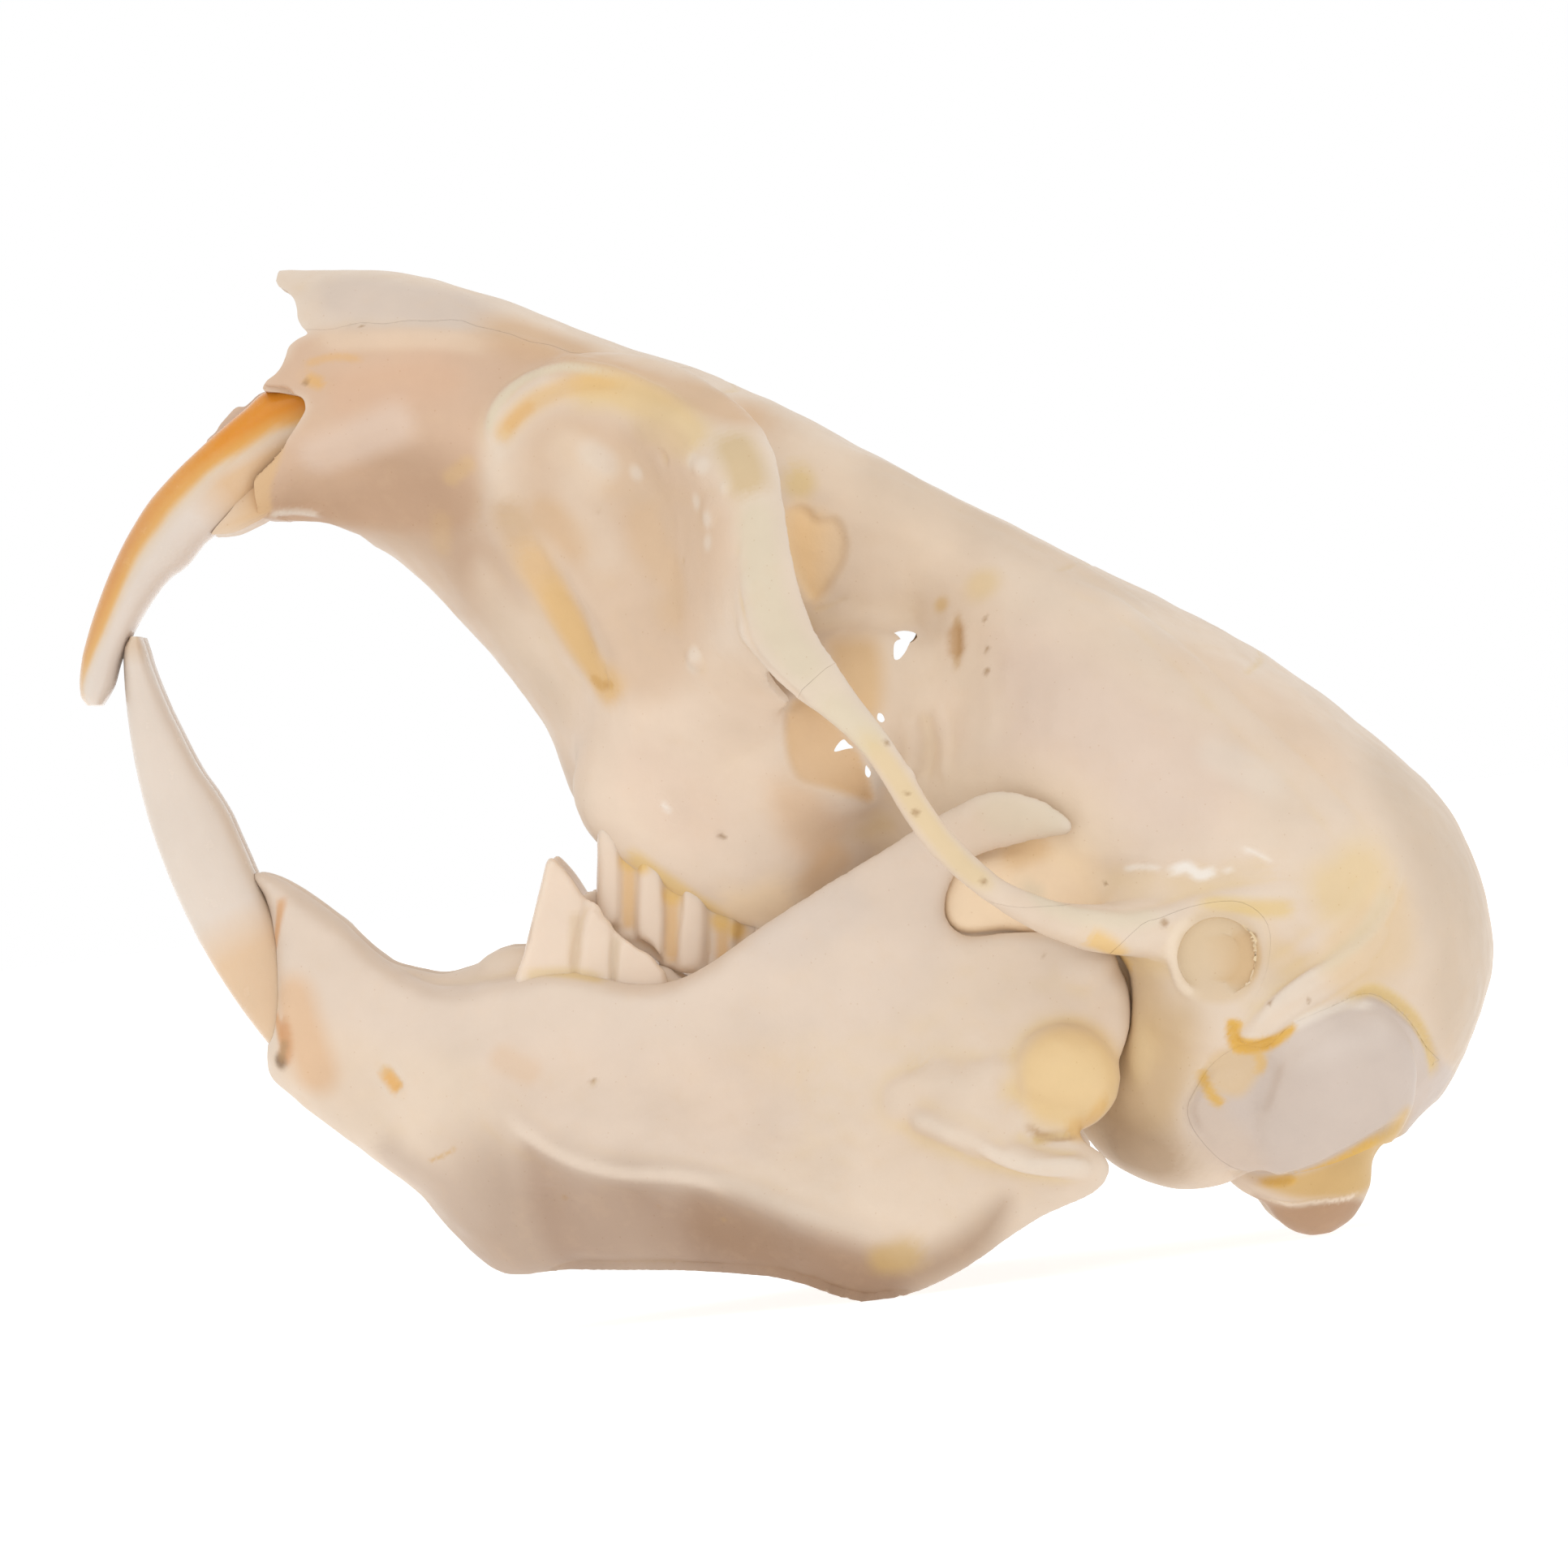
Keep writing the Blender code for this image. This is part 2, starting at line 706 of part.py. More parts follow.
def upper_teeth():
    """Four on the left, their crowns leaning back. The first is the longest."""
    #       back    height  half length  half width
    rows = [
        (16.35, -0.10, 0.52, 0.92),
        (17.45, -0.32, 0.42, 0.87),
        (18.60, -0.30, 0.42, 0.82),
        (19.60, 0.00, 0.36, 0.77),
    ]
    lean, height_in_bone = 1.6, 3.2
    teeth = []
    for i, (back, height, half_long, half_wide) in enumerate(rows):
        foot = (back - lean, -2.8, height + height_in_bone)
        crown = (back, -3.0, height)
        teeth.append(cheek_tooth(f"upper_tooth_{i}", foot, crown, half_long, half_wide))
    return teeth


def cranium():
    cheek = [cheek_root(), cheek_band(), cheek_fill(), cheek_arch()]
    pieces = both_sides([*cheek, tooth_bed(), *brain_floor_pieces()])
    whole = combine(core(), [nasal_roof(), *pieces], "UNION")
    sockets = both_sides([incisor("socket", UPPER_INCISOR, BONE_GAP)])
    combine(whole, cranium_cutters(), "DIFFERENCE")
    refine(whole, VOXEL, SMOOTHING)
    keep_largest(whole)
    thin_out(whole, CRANIUM_TRIANGLES)
    match_sides(whole)
    combine(whole, both_sides(upper_teeth()), "UNION")
    combine(whole, sockets, "DIFFERENCE")
    return keep_largest(whole)


# Parting the cranium into the bones a person would name


def part_off(whole, name, make_region):
    """Takes the piece inside a region out of the whole, and leaves a gap round it."""
    piece = copy_of(whole, name)
    combine(piece, [make_region(0.0)], "INTERSECT")
    combine(whole, [make_region(BONE_GAP)], "DIFFERENCE")
    keep_largest(whole)
    return keep_largest(piece)


def plate_region(side):
    def make(grow):
        low, high = sorted((side * (4.85 - grow), side * 12))
        return block("region", (4 - grow, low, 3.2), (18.9 + grow, high, 16))

    return make


def arch_region(side):
    def make(grow):
        low, high = sorted((side * (8.85 - grow), side * (12 + grow)))
        return block("region", (18.9 - grow, low, 3 - grow), (26.9 + grow, high, 10 + grow))

    return make


def bulla_region(side):
    def make(grow):
        radii = (3.85 + grow, 3.1 + grow, 3.6 + grow)
        capsule = ball("region", (31.7, side * 5.25, 2.9), radii, turn=(0, 0, side * 28), segments=20)
        tube = ball("tube", (31.1, side * 8.6, 6.2), (1.75 + grow, 2.6 + grow, 1.75 + grow), segments=16)
        return combine(capsule, [tube], "UNION")

    return make


def mastoid_region(side):
    def make(grow):
        radii = (2.75 + grow, 2.6 + grow, 2.75 + grow)
        return ball("region", (35.25, side * 7.3, 4.55), radii, turn=(0, 10, side * 24), segments=18)

    return make


def nasal_region(grow):
    """A wedge over the snout whose floor is the seam between the nasal bones and the premaxillae."""
    seam = [(-0.6, 9.6), (1.4, 10.4), (2.75, 11.3), (3.95, 11.97), (5.2, 12.6), (8.5, 13.3), (12.6, 14.8)]
    across = 3.4 + grow
    below = [(x - grow * 0.3, z - grow) for x, z in seam]
    return prism("region", below + [(12.6 + grow, 16), (-1, 16)], -across, across)


def snout_region(grow):
    """Everything in front of a slanting plane behind the eye sockets' front wall and the upper teeth."""
    return block("region", (-21.6, -14, -15), (18.9 + grow, 14, 25), pitch=-20)


def part_cranium(whole):
    pieces = {}
    for word, side in (("left", -1), ("right", 1)):
        pieces[f"zygomatic_arch_{word}"] = part_off(whole, "arch", arch_region(side))
        pieces[f"zygomatic_plate_{word}"] = part_off(whole, "plate", plate_region(side))
        pieces[f"auditory_bulla_{word}"] = part_off(whole, "bulla", bulla_region(side))
        pieces[f"mastoid_{word}"] = part_off(whole, "mastoid", mastoid_region(side))
    pieces["nasal_bones"] = part_off(whole, "nasals", nasal_region)
    pieces["rostrum"] = part_off(whole, "rostrum", snout_region)
    pieces["braincase"] = whole
    return pieces


# Lower jaw, in the jaw frame


def jaw_plate():
    """One half of the lower jaw with its three processes, seen from the side as in the photograph."""
    outline = [
        (-23.6, 2.1),
        (-22.6, 1.9),
        (-21.2, 0.95),
        (-19.9, -0.2),
        (-18.3, -0.95),
        (-16.8, -0.75),
        (-15.0, -0.5),
        (-12.8, -0.9),
        (-11.2, -0.4),
        (-8.9, 1.18),
        (-6.7, 2.6),
        (-4.7, 3.8),
        (-3.3, 4.35),
        (-2.0, 4.1),
        (-1.2, 3.3),
        (-2.6, 2.95),
        (-4.1, 2.45),
        (-4.7, 1.3),
        (-4.2, 0.5),
        (-2.8, 0.6),
        (-1.3, 0.45),
        (-0.1, -0.25),
        (0.3, -1.5),
        (-0.2, -3.2),
        (-1.15, -4.7),
        (-0.35, -5.45),
        (-0.6, -6.3),
        (-2.3, -7.15),
        (-4.3, -8.5),
        (-6.7, -9.38),
        (-9.2, -8.7),
        (-12.2, -8.6),
        (-14.8, -8.65),
        (-16.7, -8.8),
        (-18.1, -7.65),
        (-19.1, -6.5),
        (-21.05, -5.1),
        (-22.5, -3.95),
        (-23.15, -3.15),
        (-22.9, -1.0),
        (-23.1, 1.2),
    ]
    #    back   height  outer  inner
    landmarks = [
        (-23.2, 2.0, -2.1, -0.25),
        (-22.8, -0.5, -2.55, -0.2),
        (-23.0, -3.2, -2.0, -0.2),
        (-20.3, 0.3, -2.7, -0.6),
        (-20.3, -2.2, -3.2, -0.2),
        (-20.3, -5.2, -2.5, -0.2),
        (-18.4, -0.9, -3.5, -1.5),
        (-17.6, -3.8, -4.3, -1.6),
        (-17.8, -6.6, -3.6, -0.4),
        (-16.8, -8.4, -2.9, -1.2),
        (-15.6, -0.6, -4.5, -2.4),
        (-14.9, -3.4, -5.1, -2.6),
        (-14.8, -5.7, -6.0, -2.9),
        (-14.4, -8.2, -4.8, -3.2),
        (-12.0, -0.9, -5.4, -3.2),
        (-11.6, -3.6, -6.0, -3.5),
        (-11.3, -6.5, -7.4, -4.2),
        (-11.3, -8.2, -6.0, -4.9),
        (-8.8, 1.0, -6.3, -5.4),
        (-8.4, -2.0, -6.2, -4.6),
        (-8.4, -5.0, -7.2, -5.0),
        (-8.3, -7.3, -8.6, -5.6),
        (-8.0, -8.7, -7.4, -6.2),
        (-5.4, 3.3, -7.2, -6.5),
        (-5.4, -0.5, -7.0, -6.0),
        (-5.2, -3.6, -7.4, -5.7),
        (-5.2, -6.2, -8.2, -6.2),
        (-5.3, -8.5, -7.9, -6.8),
        (-2.6, 4.2, -7.8, -7.2),
        (-1.4, 3.4, -8.0, -7.4),
        (-3.6, 0.3, -7.2, -6.2),
        (-1.2, 0.3, -7.6, -6.0),
        (0.2, -1.4, -7.6, -6.3),
        (-2.6, -2.6, -7.9, -6.1),
        (-2.4, -4.9, -8.9, -7.3),
        (-0.7, -5.6, -9.2, -8.2),
        (-2.4, -6.8, -8.3, -7.3),
    ]
    return plate("jaw_plate", outline, landmarks, rim=0.75)


def jaw_tooth_bed():
    """The tongue side of the alveolar bone, which stands higher than the cheek side."""
    rows = [
        (-18.8, -2.0, -1.60, 0.50, 0.50),
        (-16.4, -2.5, -0.75, 0.85, 0.70),
        (-13.5, -2.9, -1.00, 0.90, 0.75),
        (-11.0, -3.4, -1.90, 0.80, 0.70),
    ]
    return sweep("jaw_tooth_bed", rows)


def jaw_knobs():
    """What stands out from the jaw's plate: the capsule of the incisor's root, the condyle, a crest."""
    return [
        ball("root_capsule", (-1.35, -7.7, -3.13), (1.28, 1.25, 1.26)),
        sweep(
            "root_sheath",
            [
                (-6.5, -6.6, -4.4, 1.1, 0.90),
                (-3.8, -7.2, -3.8, 1.1, 0.95),
                (-1.6, -7.5, -3.2, 1.1, 1.00),
            ],
        ),
        ball("condyle", (-1.0, -6.9, -0.35), (1.0, 0.85, 0.85)),
        sweep(
            "angle_crest",
            [
                (-5.6, -7.4, -4.30, 0.40, 0.60),
                (-3.9, -8.2, -4.90, 0.45, 0.70),
                (-2.3, -8.9, -5.50, 0.40, 0.60),
                (-0.7, -9.1, -5.72, 0.32, 0.45),
            ],
        ),
    ]


def lower_teeth():
    """Four on the left, leaning forward, the first one the tallest."""
    #      crown                    foot               half length, width, slope of the crown
    rows = [
        ((-14.95, -3.30, 1.70), (-16.4, -3.2, -2.6), 0.58, 0.80, -1.25),
        ((-14.10, -3.45, 0.50), (-15.0, -3.4, -2.8), 0.42, 0.85, -0.75),
        ((-13.00, -3.60, -0.15), (-13.5, -3.6, -3.0), 0.50, 0.85, -0.60),
        ((-11.75, -3.75, -0.65), (-12.1, -3.8, -3.2), 0.45, 0.80, -0.30),
    ]
    teeth = []
    for i, (crown, foot, half_long, half_wide, slope) in enumerate(rows):
        teeth.append(cheek_tooth(f"lower_tooth_{i}", foot, crown, half_long, half_wide, slope))
    return teeth


def jaw_half():
    half = combine(jaw_plate(), [jaw_tooth_bed(), *jaw_knobs()], "UNION")
    canal_rows = [(-19.7, -4.0, -3.45, 0.25, 0.22), (-19.5, -2.2, -3.5, 0.25, 0.22)]
    canal = sweep("mental_hole", canal_rows)
    combine(half, [canal], "DIFFERENCE")
    refine(half, VOXEL, SMOOTHING)
    keep_largest(half)
    thin_out(half, JAW_TRIANGLES)
    combine(half, lower_teeth(), "UNION")
    beyond = block("beyond_midline", (-30, -MIDLINE_GAP, -15), (5, 5, 15))
    combine(half, [incisor("socket", LOWER_INCISOR, BONE_GAP), beyond], "DIFFERENCE")
    return keep_largest(half)


# Frames, materials and the finished nodes


def material(name):
    colour, roughness = FINISHES[name]
    made = bpy.data.materials.new(name)
    made.use_nodes = True
    shader = made.node_tree.nodes["Principled BSDF"]
    shader.inputs["Base Color"].default_value = (*colour, 1)
    shader.inputs["Roughness"].default_value = roughness
    shader.inputs["Metallic"].default_value = 0.0
    made.diffuse_color = (*colour, 1)
    return made


def finish(item, name, finish_name, frame):
    """Names a node, stores it in metres and hangs it on its frame."""
    item.name = item.data.name = name
    item.data.transform(Matrix.Scale(MM, 4))
    item.data.shade_smooth()
    item.data.set_sharp_from_angle(angle=math.radians(50))
    item.data.materials.clear()
    item.data.materials.append(bpy.data.materials.get(finish_name) or material(finish_name))
    item.parent = frame


def frame_empty(name, parent, place, pitch):
    empty = bpy.data.objects.new(name, None)
    bpy.context.scene.collection.objects.link(empty)
    empty.parent = parent
    empty.location = Vector(place) * MM
    empty.rotation_euler = (0, math.radians(pitch), 0)
    return empty


def settle(rest):
    """Moves the frames so that the skull lies on z = 0 with the middle of its box over the origin."""
    bpy.context.view_layer.update()
    places = [
        item.matrix_world @ vertex.co
        for item in bpy.data.objects
        if item.type == "MESH"
        for vertex in item.data.vertices
    ]
    low = np.min(places, axis=0)
    high = np.max(places, axis=0)
    rest.location = (-(low[0] + high[0]) / 2, -(low[1] + high[1]) / 2, -low[2])


def main():
    clear_scene()
    rest = frame_empty("rest_pose", None, (0, 0, 0), REST_TIP)
    skull = frame_empty("skull_frame", rest, (0, 0, 0), SKULL_PITCH)
    joint = Matrix.Rotation(math.radians(SKULL_PITCH), 4, "Y") @ Vector((JAW_JOINT[0], 0, JAW_JOINT[1]))
    jaw = frame_empty("jaw_frame", rest, joint, 0)

    finishes = {"zygomatic_arch": "thin_bone", "mastoid": "mastoid_bone"}
    for name, piece in part_cranium(cranium()).items():
        bone = name.removesuffix("_left").removesuffix("_right")
        finish(piece, name, finishes.get(bone, "bone"), skull)

    left_jaw = jaw_half()
    right_jaw = mirrored(left_jaw, "right_jaw")
    finish(left_jaw, "mandible_left", "bone", jaw)
    finish(right_jaw, "mandible_right", "bone", jaw)

    for row, spec, frame in (("upper", UPPER_INCISOR, skull), ("lower", LOWER_INCISOR, jaw)):
        left = incisor("left", spec)
        right = mirrored(left, "right")
        finish(left, f"{row}_incisor_left", f"{row}_enamel", frame)
        finish(right, f"{row}_incisor_right", f"{row}_enamel", frame)

    settle(rest)


main()
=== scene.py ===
"""Pocket gopher skull with its lower jaw, finished for show on a plain pale floor.

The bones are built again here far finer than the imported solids, from the same measures, and then
worked over like a sculptor would: raised and sunk along drawn lines, and tinted the same way.
Two frames are used, in millimetres, nose towards -X, left side towards -Y:
  skull frame  X runs back from the tip of the nose, Z up from the biting plane of the upper teeth
  sheet frame  the picture's own upright, with the camera looking along +Y
Drawn lines are given by where they are seen in the 1932 by 1932 picture, or as skull frame points.
What is drawn stands in tables of text, which spots, rows_of and draw read.
"""

import math

import bmesh
import bpy
import numpy as np
from mathutils import Matrix, Vector, kdtree
from mathutils.bvhtree import BVHTree


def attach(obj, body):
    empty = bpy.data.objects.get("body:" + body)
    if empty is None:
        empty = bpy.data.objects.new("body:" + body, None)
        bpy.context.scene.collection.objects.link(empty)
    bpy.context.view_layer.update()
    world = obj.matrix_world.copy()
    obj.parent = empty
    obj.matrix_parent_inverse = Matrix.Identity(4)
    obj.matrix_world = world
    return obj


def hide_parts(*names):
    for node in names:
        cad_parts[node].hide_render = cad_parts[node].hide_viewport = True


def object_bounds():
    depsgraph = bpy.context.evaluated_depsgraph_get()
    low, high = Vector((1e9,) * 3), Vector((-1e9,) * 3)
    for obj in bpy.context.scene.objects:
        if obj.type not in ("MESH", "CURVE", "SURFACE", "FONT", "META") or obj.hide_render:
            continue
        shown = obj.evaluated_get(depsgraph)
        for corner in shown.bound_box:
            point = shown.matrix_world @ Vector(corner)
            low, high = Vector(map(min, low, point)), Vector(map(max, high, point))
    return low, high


MM = 0.001

# How the picture is taken
PICTURE = 1932
UNIT = 38 / 1706
AWAY = 299.0
SKULL_SEEN_AT = (110.2, 802.0)

# Where part.py's frames stand
REST_PLACE = (-18.3298, 0.0, 20.1119)
REST_TIP = 7.4
SKULL_PITCH = 26.7
JAW_JOINT = (28.75, 5.28)

# Size of the finished mesh, width of a seam, and how far out the walls of the eye socket reach
FINE = 0.11
SEAM = 0.004
THIN_BONE = 8.2

# How many vertices are measured at a time
BATCH = 4000

TO_SHEET = Matrix.Rotation(math.radians(SKULL_PITCH), 4, "Y")
JAW_PLACE = TO_SHEET @ Vector((JAW_JOINT[0], 0, JAW_JOINT[1]))
MIDDLE = ((PICTURE / 2 - SKULL_SEEN_AT[0]) * UNIT, -(PICTURE / 2 - SKULL_SEEN_AT[1]) * UNIT)
EYE = Vector((MIDDLE[0], -AWAY, MIDDLE[1]))
TO_WORLD = (
    Matrix.Translation(Vector(REST_PLACE) * MM)
    @ Matrix.Rotation(math.radians(REST_TIP), 4, "Y")
    @ Matrix.Scale(MM, 4)
)

# How much of each tint the bone gives back: the studio light is brighter than one
ALBEDO = 0.79

# Tints as they should look in that light, sRGB
TINT = {
    "bone": (0.93, 0.845, 0.755),
    "peach": (0.925, 0.80, 0.675),
    "pink": (0.90, 0.795, 0.725),
    "pale": (0.94, 0.885, 0.82),
    "white": (0.90, 0.845, 0.785),
    "tan": (0.86, 0.745, 0.61),
    "amber": (0.91, 0.76, 0.52),
    "yellow": (0.93, 0.80, 0.50),
    "orange": (0.92, 0.72, 0.45),
    "brown": (0.72, 0.58, 0.42),
    "umber": (0.50, 0.38, 0.26),
    "ivory": (0.925, 0.875, 0.825),
    "yolk": (0.93, 0.74, 0.36),
    "enamel": (0.91, 0.59, 0.17),
    "flame": (0.93, 0.73, 0.42),
    "green": (0.905, 0.845, 0.735),
}

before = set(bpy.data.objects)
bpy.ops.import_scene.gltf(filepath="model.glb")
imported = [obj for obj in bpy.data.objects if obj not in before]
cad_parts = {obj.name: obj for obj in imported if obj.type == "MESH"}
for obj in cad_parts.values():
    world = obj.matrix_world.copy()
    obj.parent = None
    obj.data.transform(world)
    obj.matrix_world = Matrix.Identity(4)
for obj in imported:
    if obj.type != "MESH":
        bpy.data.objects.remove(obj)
BOX = np.array([list(corner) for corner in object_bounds()])


# Tables of numbers, written as text


def spots(text):
    """Points, each written as x,y or with more values, with blanks between them."""
    return [tuple(map(float, word.split(","))) for word in text.split()]


def rows_of(table):
    """The rows of a table, as the words before the colon and the text after it. Indented lines carry a row on."""
    for row in table.replace("\n ", " ").splitlines():
        if row and not row.startswith("#"):
            order, _, where = row.partition(":")
            yield order.split(), where


def value_of(word):
    """A tint's name, a tint, or a number."""
    if word in TINT:
        return word
    return spots(word)[0] if "," in word else int(word) if word.isdigit() else float(word)


# Curves and fields


def track(rows, places):
    """Values of a smooth curve through rows of (place, value, ...) that never overshoots its rows."""
    rows, places = np.asarray(rows, float), np.asarray(places, float)
    x, y = rows[:, 0], rows[:, 1:]
    step = np.diff(x)[:, None]
    slope = np.diff(y, axis=0) / step
    tangent = np.zeros_like(y)
    tangent[0], tangent[-1] = slope[0], slope[-1]
    rising = slope[:-1] * slope[1:] > 0
    total = np.where(rising, slope[:-1] + slope[1:], 1.0)
    tangent[1:-1] = np.where(rising, 2 * slope[:-1] * slope[1:] / total, 0.0)
    i = np.clip(np.searchsorted(x, places, side="right") - 1, 0, len(x) - 2)
    t = ((places - x[i]) / (x[i + 1] - x[i]))[:, None]
    h = step[i]
    return (
        (2 * t**3 - 3 * t**2 + 1) * y[i]
        + (t**3 - 2 * t**2 + t) * h * tangent[i]
        + (3 * t**2 - 2 * t**3) * y[i + 1]
        + (t**3 - t**2) * h * tangent[i + 1]
    )


def through(points, count, closed=False):
    """count points of a smooth curve through the given points."""
    points = np.asarray(points, float)
    total = len(points)
    if closed:
        padded = np.vstack([points[-1:], points, points[:2]])
        at = np.linspace(0, total, count, endpoint=False)
    else:
        padded = np.vstack([2 * points[0] - points[1], points, 2 * points[-1] - points[-2]])
        at = np.linspace(0, total - 1, count)
    i = np.minimum(at.astype(int), (total if closed else total - 1) - 1)
    t = (at - i)[:, None]
    a, b, c, d = padded[i], padded[i + 1], padded[i + 2], padded[i + 3]
    return 0.5 * (2 * b + (c - a) * t + (2 * a - 5 * b + 4 * c - d) * t**2 + (3 * b - a - 3 * c + d) * t**3)


def landmark_field(landmarks):
    """A smooth field over a plane through rows of (x, z, value, ...)."""
    rows = np.asarray(landmarks, float)
    spots, values = rows[:, :2], rows[:, 2:]

    def bend(distance):
        return distance**2 * np.log(distance + 1e-9)

    gaps = np.linalg.norm(spots[:, None] - spots[None], axis=2)
    plane = np.hstack([np.ones((len(rows), 1)), spots])
    system = np.block([[bend(gaps), plane], [plane.T, np.zeros((3, 3))]])
    weights = np.linalg.solve(system, np.vstack([values, np.zeros((3, values.shape[1]))]))

    def field(points):
        reach = np.linalg.norm(points[:, None] - spots[None], axis=2)
        return bend(reach) @ weights[:-3] + np.hstack([np.ones((len(points), 1)), points]) @ weights[-3:]

    return field


def waves(places, size, seed, count=10):
    """A gentle unevenness from -1 to 1, of about the given size."""
    chance = np.random.default_rng(seed)
    ways = chance.normal(size=(count, 3))
    ways /= np.linalg.norm(ways, axis=1)[:, None]
    ways *= 2 * math.pi / size * chance.uniform(0.6, 1.6, (count, 1))
    return np.sin(places @ ways.T + chance.uniform(0, 6.28, count)).mean(1) * 1.8


def srgb(name):
    """A tint as linear light."""
    value = np.array(TINT[name] if isinstance(name, str) else name, float)
    return np.where(value <= 0.04045, value / 12.92, ((value + 0.055) / 1.055) ** 2.4)


# Closed meshes


def mesh_object(name, bm):
    bmesh.ops.recalc_face_normals(bm, faces=bm.faces)
    mesh = bpy.data.meshes.new(name)
    bm.to_mesh(mesh)
    bm.free()
    item = bpy.data.objects.new(name, mesh)
    bpy.context.scene.collection.objects.link(item)
    return item


def skin(name, rings):
    bm = bmesh.new()
    loops = [[bm.verts.new(point) for point in ring] for ring in rings]
    for here, after in zip(loops, loops[1:]):
        for j in range(len(here)):
            k = (j + 1) % len(here)
            bm.faces.new((here[j], here[k], after[k], after[j]))
    bm.faces.new(loops[0])
    bm.faces.new(loops[-1])
    return mesh_object(name, bm)


def oval(count, half, up, down, square_up, square_down):
    angle = np.linspace(0, 2 * math.pi, count, endpoint=False)
    across, height = np.cos(angle), np.sin(angle)
    power = 2 / np.where(height >= 0, square_up, square_down)
    reach = np.where(height >= 0, up, down)
    return (
        half * np.sign(across) * np.abs(across) ** power,
        reach * np.sign(height) * np.abs(height) ** power,
    )


def ball(name, centre, radii, turn=(0, 0, 0), segments=40):
    bm = bmesh.new()
    bmesh.ops.create_uvsphere(bm, u_segments=segments, v_segments=segments // 2, radius=1)
    spin = Matrix.Identity(4)
    for axis, degrees in zip("XYZ", turn):
        spin = Matrix.Rotation(math.radians(degrees), 4, axis) @ spin
    bm.transform(Matrix.Translation(centre) @ spin @ Matrix.Diagonal((*radii, 1)))
    return mesh_object(name, bm)


def prism(name, outline, low, high):
    bm = bmesh.new()
    face = bm.faces.new([bm.verts.new((x, low, z)) for x, z in outline])
    raised = bmesh.ops.extrude_face_region(bm, geom=[face])["geom"]
    corners = [item for item in raised if isinstance(item, bmesh.types.BMVert)]
    bmesh.ops.translate(bm, vec=(0, high - low, 0), verts=corners)
    return mesh_object(name, bm)


def sweep(name, rows, tall_way=(0, 0, 1), count=48, sides=24, round_ends=(True, True)):
    """A rod through rows of (x, y, z, half height, half thickness)."""
    rows = through(rows, count)
    path, tall, thick = rows[:, :3], rows[:, 3], rows[:, 4]
    along = np.gradient(path, axis=0)
    along /= np.linalg.norm(along, axis=1)[:, None]
    run = np.concatenate([[0], np.cumsum(np.linalg.norm(np.diff(path, axis=0), axis=1))])
    angle = np.linspace(0, 2 * math.pi, sides, endpoint=False)
    rings = []
    for i in range(count):
        up = np.array(tall_way, float)
        up -= along[i] * (up @ along[i])
        up /= np.linalg.norm(up)
        side = np.cross(along[i], up)
        ends = [run[i] if round_ends[0] else 9, run[-1] - run[i] if round_ends[1] else 9]
        left = min(1.0, min(ends) / max(tall[i], thick[i]))
        close = max(0.08, math.sqrt(1 - (1 - left) ** 2))
        rings.append(
            path[i]
            + np.outer(np.cos(angle) * tall[i] * close, up)
            + np.outer(np.sin(angle) * thick[i] * close, side)
        )
    return skin(name, rings)


def inside_by(points, edge):
    """How far each flat point lies inside a closed edge; negative outside it."""
    step = np.roll(edge, -1, axis=0) - edge
    found = np.empty(len(points))
    for low in range(0, len(points), BATCH):
        part = slice(low, low + BATCH)
        way = points[part, None] - edge[None]
        share = np.clip((way * step).sum(2) / (step**2).sum(1), 0, 1)
        gap = np.linalg.norm(way - share[..., None] * step, axis=2).min(1)
        rising = (way[..., 1] < 0) != (way[..., 1] < step[:, 1])
        left = way[..., 0] < step[:, 0] * way[..., 1] / np.where(step[:, 1] == 0, 1e-9, step[:, 1])
        found[part] = np.where((rising & left).sum(1) % 2, gap, -gap)
    return found


def plate(name, outline, landmarks, rim):
    """A curved plate through landmarks of (x, z, outer y, inner y), thinning within rim of its outline."""
    edge = through(outline, 5 * len(outline), closed=True)
    item = prism(name, edge, -1, 1)
    refine(item, 0.16, 0)
    places = vertex_places(item)
    flat, side = places[:, [0, 2]], np.clip(places[:, 1], -1, 1)
    depth = np.abs(inside_by(flat, edge))
    outer, inner = landmark_field(landmarks)(flat).T
    closing = np.sqrt(1 - (1 - np.minimum(depth / rim, 1)) ** 2)
    half = (inner - outer) / 2 * np.maximum(closing, 0.3)
    places[:, 1] = (outer + inner) / 2 + side * half
    set_places(item, places)
    return item


# Changes to a mesh


def read(items, what, kind=np.float32, width=3):
    flat = np.empty(len(items) * width, kind)
    items.foreach_get(what, flat)
    return flat.reshape(-1, width)


def vertex_places(item):
    return read(item.data.vertices, "co").astype(float)


def normals_of(item):
    return read(item.data.vertex_normals, "vector").astype(float)


def edge_ends(item):
    return read(item.data.edges, "vertices", np.int32, 2).T


def set_places(item, places):
    item.data.vertices.foreach_set("co", np.ascontiguousarray(places, np.float32).ravel())
    item.data.update()


def bake(item):
    graph = bpy.context.evaluated_depsgraph_get()
    mesh = bpy.data.meshes.new_from_object(item.evaluated_get(graph))
    item.modifiers.clear()
    old, item.data = item.data, mesh
    bpy.data.meshes.remove(old)
    return item


def combine(item, others, operation):
    group = bpy.data.collections.new("operands")
    for other in others:
        group.objects.link(other)
    boolean = item.modifiers.new("combine", "BOOLEAN")
    boolean.operation = operation
    boolean.solver = "MANIFOLD"
    boolean.operand_type = "COLLECTION"
    boolean.collection = group
    bake(item)
    for other in others:
        bpy.data.objects.remove(other, do_unlink=True)
    bpy.data.collections.remove(group)
    return item


